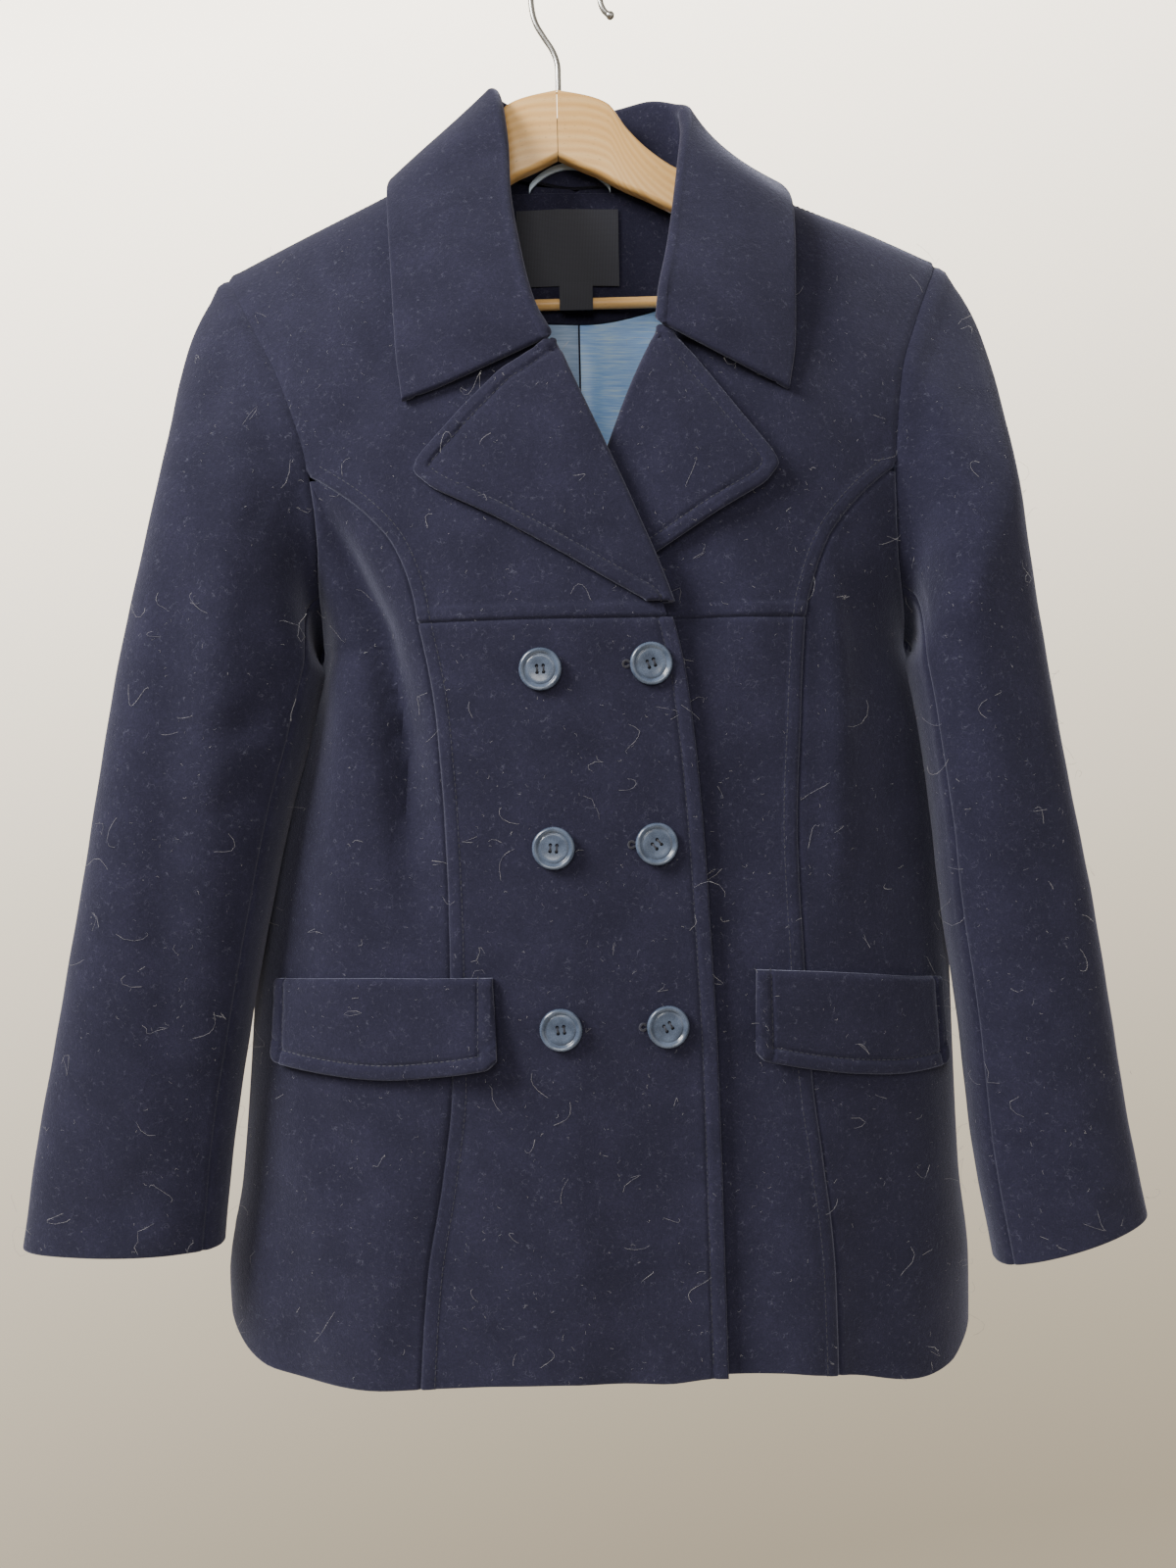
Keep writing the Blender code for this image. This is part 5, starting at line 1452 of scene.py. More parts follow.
@dataclass
class Fastening:
    """Six four-hole buttons, their thread, and the keyhole buttonholes of the right-hand column."""
    form: CoatForm
    profile: tuple = ((0.0, 0.0), (7.6, 0.0), (9.2, 0.25), (10.6, 0.9), (11.35, 1.8), (11.5, 2.6),
                      (11.3, 3.4), (10.9, 3.95), (10.3, 4.2), (9.7, 4.1), (9.2, 3.75), (8.8, 3.3),
                      (8.5, 2.95), (8.25, 2.8),
                      (7.95, 2.85), (7.7, 3.05), (7.3, 3.15), (6.0, 2.95), (3.0, 2.7), (0.0, 2.65))
    holes: tuple = ((-1.75, -1.75), (1.75, -1.75), (-1.75, 1.75), (1.75, 1.75))
    hole_radius: float = 0.95
    seat: float = 0.55

    def blank(self) -> bpy.types.Mesh:
        """A turned button with its four holes, its back on z = 0."""
        form = bmesh.new()
        ring = [form.verts.new((r * MM, 0, z * MM)) for r, z in self.profile]
        edges = [form.edges.new(pair) for pair in zip(ring, ring[1:])]
        bmesh.ops.spin(form, geom=ring + edges, cent=(0, 0, 0), axis=(0, 0, 1), angle=2 * math.pi, steps=56)
        bmesh.ops.remove_doubles(form, verts=form.verts, dist=1e-6)
        bmesh.ops.recalc_face_normals(form, faces=form.faces)
        turned = bpy.data.meshes.new("button_blank")
        form.to_mesh(turned)
        form.free()
        drills = bmesh.new()
        for x, y in self.holes:
            made = bmesh.ops.create_cone(drills, cap_ends=True, segments=18, radius1=self.hole_radius * MM,
                                         radius2=self.hole_radius * MM, depth=14 * MM)
            bmesh.ops.translate(drills, verts=made["verts"], vec=(x * MM, y * MM, 0))
        tool = bpy.data.meshes.new("drills")
        drills.to_mesh(tool)
        drills.free()
        blank, drill = put("blank", turned), put("drill", tool)
        cut = blank.modifiers.new("holes", "BOOLEAN")
        cut.object, cut.solver, cut.operation = drill, "EXACT", "DIFFERENCE"
        graph = bpy.context.evaluated_depsgraph_get()
        mesh = bpy.data.meshes.new_from_object(blank.evaluated_get(graph))
        for item in (blank, drill):
            bpy.data.objects.remove(item)
        mesh.shade_smooth()
        mesh.set_sharp_from_angle(angle=math.radians(32))
        mesh.materials.clear()
        return mesh

    def frame(self, x: float, z: float, lift: float, turn: float = 0.0) -> Matrix:
        """Where a button sits: on the folded front, facing out, turned about its own middle."""
        point = self.form.place(x, z, Face.FRONT, lift)
        way = Vector(self.form.normal(x, self.form.skin_y(x, z, Face.FRONT), z, Face.FRONT))
        spin = way.to_track_quat("Z", "Y").to_matrix().to_4x4() @ Matrix.Rotation(turn, 4, "Z")
        return Matrix.Translation(Vector(point) * MM) @ spin

    def buttons(self, finish: bpy.types.Material) -> list[bpy.types.Object]:
        """The six buttons, each a little turned from its neighbours."""
        blank = self.blank()
        made = []
        for number, (x, z) in enumerate(BUTTONS, 1):
            mesh = blank.copy()
            mesh.transform(self.frame(x, z, self.seat, TURNS[number - 1]))
            mesh.materials.append(finish)
            made.append(put("turned_button_%d" % number, mesh))
        bpy.data.meshes.remove(blank)
        return made

    def thread(self, finish: bpy.types.Material) -> bpy.types.Object:
        """The sewing thread: two stitches across each button, two strands each."""
        parts = []
        for number, (x, z) in enumerate(BUTTONS, 1):
            place = self.frame(x, z, self.seat, TURNS[number - 1])
            for side in (-1, 1):
                for strand in (-0.22, 0.22):
                    f = np.linspace(0, 1, 12)
                    rise = 2.0 + 0.95 * np.sin(math.pi * f) ** 0.6
                    run = np.stack([side * 1.75 + strand + 0 * f, -1.75 + 3.5 * f, rise], -1)
                    path = [tuple(place @ (Vector(p) * MM) / MM) for p in run]
                    parts.append(tube("strand", path, [0.2] * len(path), finish, 6))
        return join("button_thread", parts)

    def buttonholes(self, finish: bpy.types.Material) -> bpy.types.Object:
        """Corded keyhole edges under the right-hand column of buttons."""
        parts = []
        for x, z in BUTTONS[1::2]:
            eye = [(-13.2 + 1.7 * math.cos(a), 1.7 * math.sin(a))
                   for a in np.radians(np.linspace(35, 325, 15))]
            outline = [(9.0, -0.8), (9.0, 0.8)] + eye
            outline = outline + outline[:1]
            dense = []
            for (x0, z0), (x1, z1) in zip(outline, outline[1:]):
                steps = max(1, int(math.hypot(x1 - x0, z1 - z0) / 0.8))
                dense += [(x0 + (x1 - x0) * k / steps, z0 + (z1 - z0) * k / steps) for k in range(steps)]
            path = [self.form.place(x + dx, z + dz, Face.FRONT, 0.15) for dx, dz in dense]
            radii = [0.62 + 0.12 * (k % 2) for k in range(len(path))]
            parts.append(tube("hole_edge", path, radii, finish, 6))
        return join("buttonholes", parts)


TURNS = (0.05, 0.32, -0.08, 0.74, 0.12, 0.52)


def join(name: str, parts: Sequence[bpy.types.Object]) -> bpy.types.Object:
    """Makes one object of several that have the same finish."""
    form = bmesh.new()
    for part in parts:
        form.from_mesh(part.data)
    mesh = bpy.data.meshes.new(name)
    form.to_mesh(mesh)
    form.free()
    mesh.shade_smooth()
    mesh.materials.append(parts[0].data.materials[0])
    for part in parts:
        bpy.data.objects.remove(part)
    return put(name, mesh)


# ---------------------------------------------------------------------------------------------
# What repeats: topstitches and lint, by Geometry Nodes
# ---------------------------------------------------------------------------------------------

@dataclass
class Tree:
    """A node tree under construction, for materials and for geometry alike."""
    tree: bpy.types.NodeTree

    def add(self, kind: str, settings: dict | None = None, **links) -> bpy.types.Node:
        """Adds a node.

        Args:
            kind: the node's type.
            settings: its properties; names in capitals or with a space are its inputs.
            links: input name or number (as i0, i1, ...) to an output socket or to a value.

        Returns:
            The node.
        """
        node = self.tree.nodes.new(kind)
        for name, value in (settings or {}).items():
            setattr(node, name, value)
        for name, value in links.items():
            key = int(name[1:]) if name[0] == "i" and name[1:].isdigit() else name.replace("_", " ")
            socket = node.inputs[key]
            if isinstance(value, bpy.types.NodeSocket):
                self.tree.links.new(value, socket)
            else:
                socket.default_value = value
        return node

    def math(self, operation: str, first, second) -> bpy.types.NodeSocket:
        """Arithmetic on two numbers."""
        return self.add("ShaderNodeMath", {"operation": operation}, i0=first, i1=second).outputs[0]

    def mix(self, share, first, second) -> bpy.types.NodeSocket:
        """A mixture of two numbers."""
        return self.add("ShaderNodeMix", {"data_type": "FLOAT"}, i0=share, i2=first, i3=second).outputs[0]

    def tint(self, share, first, second) -> bpy.types.NodeSocket:
        """A mixture of two colours."""
        return self.add("ShaderNodeMix", {"data_type": "RGBA"}, i0=share, i6=first, i7=second).outputs[2]

    def span(self, value, low: float, high: float, start: float, end: float) -> bpy.types.NodeSocket:
        """A number moved from the range low to high into the range start to end."""
        return self.add("ShaderNodeMapRange", Value=value, i1=low, i2=high, i3=start, i4=end).outputs[0]

    def link(self, socket: bpy.types.NodeSocket, node: bpy.types.Node, label: str) -> None:
        """Links a socket to a named input."""
        self.tree.links.new(socket, node.inputs[label])


@dataclass
class Repeats:
    """A Geometry Nodes tree that puts a small shape at many places of a mesh."""
    name: str

    def start(self, inputs: dict[str, tuple[str, float]]) -> tuple[Tree, bpy.types.Node]:
        """Makes the group with its named inputs.

        Args:
            inputs: name to socket type and value.

        Returns:
            The tree and its input node.
        """
        group = bpy.data.node_groups.new(self.name, "GeometryNodeTree")
        group.interface.new_socket("Geometry", in_out="INPUT", socket_type="NodeSocketGeometry")
        for label, (kind, _) in inputs.items():
            group.interface.new_socket(label, in_out="INPUT", socket_type=kind)
        group.interface.new_socket("Geometry", in_out="OUTPUT", socket_type="NodeSocketGeometry")
        tree = Tree(group)
        return tree, tree.add("NodeGroupInput")

    def end(self, tree: Tree, instances: bpy.types.NodeSocket, finish: bpy.types.Material) -> None:
        """Realizes the instances and sets their material."""
        real = tree.add("GeometryNodeRealizeInstances", i0=instances)
        dressed = tree.add("GeometryNodeSetMaterial", i0=real.outputs[0], Material=finish)
        tree.add("NodeGroupOutput", i0=dressed.outputs[0])

    def run(self, tree: Tree, base: bpy.types.Object, inputs: dict[str, tuple[str, float]],
            name: str, finish: bpy.types.Material) -> bpy.types.Object:
        """Runs the tree on a base object and keeps the result as a plain mesh.

        Args:
            tree: the finished tree.
            base: what it runs on, removed afterwards.
            inputs: the values of its inputs.
            name: name of the result.
            finish: the result's material.

        Returns:
            The object.
        """
        modifier = base.modifiers.new(self.name, "NODES")
        modifier.node_group = tree.tree
        for item in tree.tree.interface.items_tree:
            if item.in_out == "INPUT" and item.name in inputs:
                modifier[item.identifier] = inputs[item.name][1]
        graph = bpy.context.evaluated_depsgraph_get()
        graph.update()
        mesh = bpy.data.meshes.new_from_object(base.evaluated_get(graph))
        mesh.name = name
        bpy.data.objects.remove(base)
        mesh.materials.clear()
        mesh.materials.append(finish)
        mesh.polygons.foreach_set("material_index", [0] * len(mesh.polygons))
        return put(name, mesh)


@dataclass
class Topstitch(Repeats):
    """Stitches along chains of points, sunk halfway into the cloth."""
    pitch: float = 3.3
    length: float = 2.5
    radius: float = 0.27

    def build(self, runs: Sequence[Array], finish: bpy.types.Material) -> bpy.types.Object:
        """Makes every stitch of the given runs."""
        line = bpy.data.curves.new("stitch_lines", "CURVE")
        line.dimensions = "3D"
        for run in runs:
            spline = line.splines.new("POLY")
            spline.points.add(len(run) - 1)
            spline.points.foreach_set("co", np.hstack([run * MM, np.ones((len(run), 1))]).ravel())
        base = put("stitch_lines", line)
        inputs = {"Pitch": ("NodeSocketFloat", self.pitch * MM),
                  "Length": ("NodeSocketFloat", self.length * MM),
                  "Radius": ("NodeSocketFloat", self.radius * MM)}
        tree, given = self.start(inputs)
        dots = tree.add("GeometryNodeCurveToPoints", {"mode": "LENGTH"}, Curve=given.outputs[0],
                        Length=given.outputs["Pitch"])
        bead = tree.add("GeometryNodeMeshUVSphere", Segments=6, Rings=5, Radius=1.0)
        half = tree.math("MULTIPLY", given.outputs["Length"], 0.5)
        scale = tree.add("ShaderNodeCombineXYZ", X=given.outputs["Radius"], Y=given.outputs["Radius"],
                         Z=half)
        placed = tree.add("GeometryNodeInstanceOnPoints", Points=dots.outputs["Points"],
                          Instance=bead.outputs["Mesh"], Rotation=dots.outputs["Rotation"],
                          Scale=scale.outputs[0])
        self.end(tree, placed.outputs[0], finish)
        return self.run(tree, base, inputs, "topstitching", finish)


@dataclass
class Lint(Repeats):
    """Pale fibres caught in the nap: short curls and a few long hairs."""
    label: str = "lint"
    count: int = 1500
    span: float = 4.0
    girth: float = 0.07
    bend: float = 0.9
    seed: int = 7

    def build(self, cloth: Sequence[Wall], finish: bpy.types.Material) -> bpy.types.Object:
        """Scatters the fibres over the outer faces of the given walls."""
        points, faces, start = [], [], 0
        for wall in cloth:
            grid = wall.outer[::2, ::2]
            rows, cols = grid.shape[:2]
            index = np.arange(rows * cols).reshape(rows, cols) + start
            quad = np.stack([index[:-1, :-1], index[:-1, 1:], index[1:, 1:], index[1:, :-1]], -1)
            quad = quad.reshape(-1, 4)
            normal = np.cross(grid[1:, :-1] - grid[:-1, :-1], grid[:-1, 1:] - grid[:-1, :-1])
            if (normal * wall.way[::2, ::2][:-1, :-1]).sum() > 0:
                quad = quad[:, ::-1]
            faces.append(quad)
            points.append(grid.reshape(-1, 3) + wall.way[::2, ::2].reshape(-1, 3) * 0.12)
            start += rows * cols
        base = mesh_object("nap", np.concatenate(points), np.concatenate(faces), finish)
        area = sum(p.area for p in base.data.polygons)
        inputs = {"Density": ("NodeSocketFloat", self.count / area),
                  "Span": ("NodeSocketFloat", self.span * MM),
                  "Girth": ("NodeSocketFloat", self.girth * MM), "Bend": ("NodeSocketFloat", self.bend),
                  "Seed": ("NodeSocketInt", self.seed)}
        tree, given = self.start(inputs)
        dots = tree.add("GeometryNodeDistributePointsOnFaces", Mesh=given.outputs[0],
                        Density=given.outputs["Density"], Seed=given.outputs["Seed"])
        rows = tree.add("GeometryNodeMeshLine", Count=6, i3=(0.2, 0, 0))
        line = tree.add("GeometryNodeMeshToCurve", Mesh=rows.outputs[0])
        whole = tree.add("GeometryNodeTransform", Geometry=line.outputs[0], Translation=(-0.5, 0, 0))
        spin = tree.add("FunctionNodeRandomValue", {"data_type": "FLOAT_VECTOR"}, Seed=3)
        spin.inputs[0].default_value, spin.inputs[1].default_value = (-0.10, -0.10, 0), (0.10, 0.10, 6.283)
        size = tree.add("FunctionNodeRandomValue", {"data_type": "FLOAT"}, Seed=5)
        size.inputs[2].default_value, size.inputs[3].default_value = 0.3, 1.35
        big = tree.math("MULTIPLY", size.outputs[1], given.outputs["Span"])
        turned = tree.add("FunctionNodeRotateRotation", {"rotation_space": "LOCAL"},
                          i0=dots.outputs["Rotation"], i1=spin.outputs[0])
        placed = tree.add("GeometryNodeInstanceOnPoints", Points=dots.outputs["Points"],
                          Instance=whole.outputs[0], Rotation=turned.outputs[0], Scale=big)
        real = tree.add("GeometryNodeRealizeInstances", i0=placed.outputs[0])
        smoother = tree.add("GeometryNodeResampleCurve", Curve=real.outputs[0])
        smoother.inputs["Count"].default_value = 8
        where = tree.add("GeometryNodeInputPosition")
        noise = tree.add("ShaderNodeTexNoise", {"noise_dimensions": "3D"}, Vector=where.outputs[0],
                         Scale=1 / (0.75 * self.span * MM), Detail=0.0)
        centred = tree.add("ShaderNodeVectorMath", {"operation": "SUBTRACT"}, i0=noise.outputs["Color"],
                           i1=(0.5, 0.5, 0.5))
        reach = tree.math("MULTIPLY", given.outputs["Span"], given.outputs["Bend"])
        swing = tree.add("ShaderNodeVectorMath", {"operation": "SCALE"}, i0=centred.outputs[0],
                         Scale=reach)
        across = tree.add("ShaderNodeVectorMath", {"operation": "MULTIPLY"}, i0=swing.outputs[0],
                          i1=(3.2, 0.0, 3.2))
        curled = tree.add("GeometryNodeSetPosition", Geometry=smoother.outputs[0], Offset=across.outputs[0])
        ring = tree.add("GeometryNodeCurvePrimitiveCircle", Resolution=3, Radius=given.outputs["Girth"])
        hair = tree.add("GeometryNodeCurveToMesh", Curve=curled.outputs[0], Profile_Curve=ring.outputs[0],
                        Fill_Caps=True)
        self.end(tree, hair.outputs[0], finish)
        return self.run(tree, base, inputs, self.label, finish)


# ---------------------------------------------------------------------------------------------
# Finishes
# ---------------------------------------------------------------------------------------------

def linear(code: str) -> tuple[float, float, float, float]:
    """An sRGB hex colour as linear light."""
    parts = [int(code[i:i + 2], 16) / 255 for i in (1, 3, 5)]
    return (*[c / 12.92 if c <= 0.04045 else ((c + 0.055) / 1.055) ** 2.4 for c in parts], 1.0)


def per_metre(millimetres: float) -> float:
    """Texture scale for a feature of a real size."""
    return 1.0 / (millimetres * MM)


@dataclass(frozen=True)
class Finish:
    """A finish: its constant shader inputs, and how its colour and bump are made."""
    name: str
    constants: tuple[tuple[str, float | tuple], ...]

    def paint(self, tree: Tree, shader: bpy.types.Node, place: bpy.types.Node) -> None:
        """Links the patterns; each kind of finish has its own."""

    def make(self) -> bpy.types.Material:
        """Builds the material."""
        made = bpy.data.materials.new(self.name)
        made.use_nodes = True
        tree = Tree(made.node_tree)
        shader = made.node_tree.nodes["Principled BSDF"]
        for label, value in self.constants:
            shader.inputs[label].default_value = value
        self.paint(tree, shader, tree.add("ShaderNodeTexCoord"))
        return made

    @staticmethod
    def ramp(tree: Tree, fac: bpy.types.NodeSocket,
             stops: Sequence[tuple[float, str]]) -> bpy.types.NodeSocket:
        """A colour ramp through hex colours."""
        node = tree.add("ShaderNodeValToRGB", Fac=fac)
        bar = node.color_ramp
        while len(bar.elements) < len(stops):
            bar.elements.new(0.5)
        for element, (at, code) in zip(bar.elements, stops):
            element.position, element.color = at, linear(code)
        return node.outputs["Color"]

    @staticmethod
    def noise(tree: Tree, vector: bpy.types.NodeSocket, size: float, detail: float = 2.0,
              rough: float = 0.5) -> bpy.types.NodeSocket:
        """Noise whose features are of a size in millimetres."""
        return tree.add("ShaderNodeTexNoise", Vector=vector, Scale=per_metre(size), Detail=detail,
                        Roughness=rough).outputs["Fac"]

    @staticmethod
    def bump(tree: Tree, height: bpy.types.NodeSocket, deep: float, strength: float,
             under: bpy.types.NodeSocket | None = None) -> bpy.types.NodeSocket:
        """A bump of a real depth in millimetres, on top of another where one is given."""
        node = tree.add("ShaderNodeBump", Height=height, Distance=deep * MM, Strength=strength)
        if under is not None:
            tree.tree.links.new(under, node.inputs["Normal"])
        return node.outputs["Normal"]


@dataclass(frozen=True)
class Melton(Finish):
    """Wool melton, milled and raised: a matt felted face whose nap catches light at its edges."""
    dark: str = "#1d1d2f"
    mid: str = "#252538"
    light: str = "#302f46"

    def paint(self, tree: Tree, shader: bpy.types.Node, place: bpy.types.Node) -> None:
        """Cloudy felt, fine flecks of paler fibre and a shallow nap."""
        at = place.outputs["Object"]
        cloud = self.noise(tree, at, 22, 3.0)
        felt = self.noise(tree, at, 2.4, 4.0, 0.62)
        nap = self.noise(tree, at, 0.85, 3.0, 0.7)
        mixed = tree.mix(0.45, cloud, felt)
        tone = tree.mix(0.5, mixed, nap)
        base = self.ramp(tree, tone, ((0.34, self.dark), (0.5, self.mid), (0.68, self.light)))
        warp = tree.add("ShaderNodeVectorMath", {"operation": "MULTIPLY_ADD"}, i0=tree.add(
            "ShaderNodeTexNoise", Vector=at, Scale=per_metre(6.0), Detail=2.0).outputs["Color"],
            i1=(0.010, 0.010, 0.010), i2=at).outputs[0]
        fibre = tree.add("ShaderNodeTexVoronoi", {"feature": "DISTANCE_TO_EDGE"}, Vector=warp,
                         Scale=per_metre(3.4)).outputs["Distance"]
        thin = tree.span(fibre, 0.0, 0.045, 1.0, 0.0)
        patch = tree.span(self.noise(tree, at, 3.1, 2.0), 0.52, 0.66, 0.0, 0.20)
        fleck = tree.math("MULTIPLY", thin, patch)
        colour = tree.tint(fleck, base, linear("#8a8ca0"))
        tree.link(colour, shader, "Base Color")
        low = self.bump(tree, felt, 0.5, 0.55)
        tree.link(self.bump(tree, nap, 0.30, 0.75, low), shader, "Normal")


@dataclass(frozen=True)
class Satin(Finish):
    """Acetate satin with a slub: long uneven weft threads across, and a soft bright sheen."""
    dark: str = "#7fb0f4"
    mid: str = "#9cc9ff"
    light: str = "#c2e0ff"

    def paint(self, tree: Tree, shader: bpy.types.Node, place: bpy.types.Node) -> None:
        """Weft threads run across the body, so the pattern is long in X and short in Z."""
        at = place.outputs["Object"]
        long = tree.add("ShaderNodeMapping", Vector=at, Scale=(0.045, 0.3, 1.0)).outputs[0]
        slub = self.noise(tree, long, 0.8, 3.0, 0.6)
        slow = self.noise(tree, at, 30, 2.0)
        tone = tree.mix(0.3, slub, slow)
        tree.link(self.ramp(tree, tone, ((0.36, self.dark), (0.5, self.mid), (0.64, self.light))),
                  shader, "Base Color")
        tree.link(self.bump(tree, slub, 0.08, 0.5), shader, "Normal")


@dataclass(frozen=True)
class Woven(Finish):
    """Damask label tape: a tight dark weave with a faint rib."""
    dark: str = "#272932"
    light: str = "#40424e"

    def paint(self, tree: Tree, shader: bpy.types.Node, place: bpy.types.Node) -> None:
        """Weft ribs 0.7 mm apart, drawn coarser than real tape so that they show."""
        at = place.outputs["Object"]
        rib = tree.add("ShaderNodeTexWave", {"bands_direction": "Z"}, Vector=at, Scale=per_metre(0.7 * 3.14),
                       Distortion=0.6, Detail=1.0).outputs["Fac"]
        warp = tree.add("ShaderNodeTexWave", {"bands_direction": "X"}, Vector=at, Scale=per_metre(0.9 * 3.14),
                        Distortion=0.4).outputs["Fac"]
        weave = tree.math("MULTIPLY", rib, warp)
        tree.link(self.ramp(tree, weave, ((0.0, self.dark), (1.0, self.light))),
                  shader, "Base Color")
        tree.link(self.bump(tree, weave, 0.12, 0.6), shader, "Normal")


@dataclass(frozen=True)
class Resin(Finish):
    """Polyester resin, cast and polished: glossy, a little cloudy in its depth."""
    dark: str = "#434f63"
    light: str = "#5a687f"

    def paint(self, tree: Tree, shader: bpy.types.Node, place: bpy.types.Node) -> None:
        """Slow clouds, and fine scratches that only dull the gloss."""
        at = place.outputs["Object"]
        cloud = self.noise(tree, at, 7, 2.0)
        tree.link(self.ramp(tree, cloud, ((0.35, self.dark), (0.65, self.light))),
                  shader, "Base Color")
        worn = tree.span(self.noise(tree, at, 0.6, 3.0), 0.3, 0.7, 0.20, 0.34)
        tree.link(worn, shader, "Roughness")
        tree.link(self.bump(tree, self.noise(tree, at, 0.9, 2.0), 0.01, 0.2), shader, "Normal")


@dataclass(frozen=True)
class Beech(Finish):
    """Beech, planed and lacquered: pale warm wood, fine grain along the piece, short dark flecks."""
    dark: str = "#d9a259"
    mid: str = "#ecbb74"
    light: str = "#f6d096"

    def paint(self, tree: Tree, shader: bpy.types.Node, place: bpy.types.Node) -> None:
        """Grain follows the piece's own length, by its UV map in metres."""
        cut = place.outputs["UV"]
        along = tree.add("ShaderNodeMapping", Vector=cut, Scale=(0.07, 1.0, 1.0)).outputs[0]
        bend = tree.add("ShaderNodeTexNoise", Vector=along, Scale=per_metre(9.0), Detail=2.0)
        ring = tree.add("ShaderNodeTexWave", {"bands_direction": "Y"}, Vector=along,
                        Scale=per_metre(5.5 * 3.14), Distortion=3.0, Detail=2.0,
                        Detail_Scale=1.0).outputs["Fac"]
        grain = self.noise(tree, along, 0.9, 4.0, 0.6)
        tone = tree.mix(0.55, ring, grain)
        soft = tree.mix(0.4, tone, bend.outputs["Fac"])
        base = self.ramp(tree, soft, ((0.12, self.dark), (0.5, self.mid), (0.9, self.light)))
        short = tree.add("ShaderNodeMapping", Vector=cut, Scale=(0.28, 1.0, 1.0)).outputs[0]
        ray = tree.span(self.noise(tree, short, 0.8, 1.0), 0.66, 0.74, 0.0, 0.45)
        colour = tree.tint(ray, base, linear("#a9793f"))
        tree.link(colour, shader, "Base Color")
        tree.link(self.bump(tree, grain, 0.05, 0.35), shader, "Normal")


@dataclass(frozen=True)
class Wire(Finish):
    """Steel wire, drawn and zinc-dipped: bright, with fine draw marks along it."""
    light: str = "#c9c9c6"

    def paint(self, tree: Tree, shader: bpy.types.Node, place: bpy.types.Node) -> None:
        """Draw marks run along the wire, by its UV map."""
        along = tree.add("ShaderNodeMapping", Vector=place.outputs["UV"], Scale=(0.04, 1.0, 1.0)).outputs[0]
        mark = self.noise(tree, along, 0.5, 3.0)
        tree.link(self.ramp(tree, mark, ((0.3, "#a9a9a8"), (0.7, self.light))),
                  shader, "Base Color")
        worn = tree.span(mark, 0.3, 0.7, 0.22, 0.36)
        tree.link(worn, shader, "Roughness")


@dataclass(frozen=True)
class Thread(Finish):
    """Spun thread or loose fibre: plain, with slow changes of tone along it."""
    dark: str = "#191a26"
    light: str = "#2c2e40"

    def paint(self, tree: Tree, shader: bpy.types.Node, place: bpy.types.Node) -> None:
        """Tone from a noise a few millimetres wide."""
        tone = self.noise(tree, place.outputs["Object"], 5, 2.0)
        tree.link(self.ramp(tree, tone, ((0.35, self.dark), (0.65, self.light))),
                  shader, "Base Color")


WOOL_FINISH = Melton("wool_melton", (("Roughness", 0.95), ("Specular IOR Level", 0.18),
                                     ("Sheen Weight", 0.55), ("Sheen Roughness", 0.42),
                                     ("Sheen Tint", linear("#b9bdd8"))))
SATIN_FINISH = Satin("lining_satin", (("Roughness", 0.42), ("Specular IOR Level", 0.5),
                                      ("Sheen Weight", 0.15)))
# The same lining satin, made darker, for the left half of the back lining: painted shade.
PAINTED_SHADE_SATIN = Satin("lining_satin_painted_shade", (("Roughness", 0.5), ("Specular IOR Level", 0.4)),
                     "#7f9cc4", "#93afd4", "#a8c0e0")
LOOP_FINISH = Satin("loop_satin", (("Roughness", 0.4), ("Specular IOR Level", 0.5)),
                    "#a8c0da", "#c3d5e8", "#dde8f2")
LABEL_FINISH = Woven("woven_label", (("Roughness", 0.6), ("Specular IOR Level", 0.35)))
BUTTON_FINISH = Resin("button_resin", (("Specular IOR Level", 0.55), ("Coat Weight", 0.35),
                                       ("Coat Roughness", 0.12)))
WOOD_FINISH = Beech("beech_wood", (("Roughness", 0.42), ("Coat Weight", 0.2), ("Coat Roughness", 0.25)))
STEEL_FINISH = Wire("steel_wire", (("Metallic", 1.0),))
THREAD_FINISH = Thread("navy_thread", (("Roughness", 0.6), ("Sheen Weight", 0.3)))
FIBRE_FINISH = Thread("lint_fibre", (("Roughness", 0.7),), "#8f8f98", "#c9c8c8")
FLOOR_FINISH = Thread("pale_floor", (("Roughness", 0.85),), "#dcd7cc", "#e2ddd3")


# ---------------------------------------------------------------------------------------------
# Stage, light and camera
# ---------------------------------------------------------------------------------------------

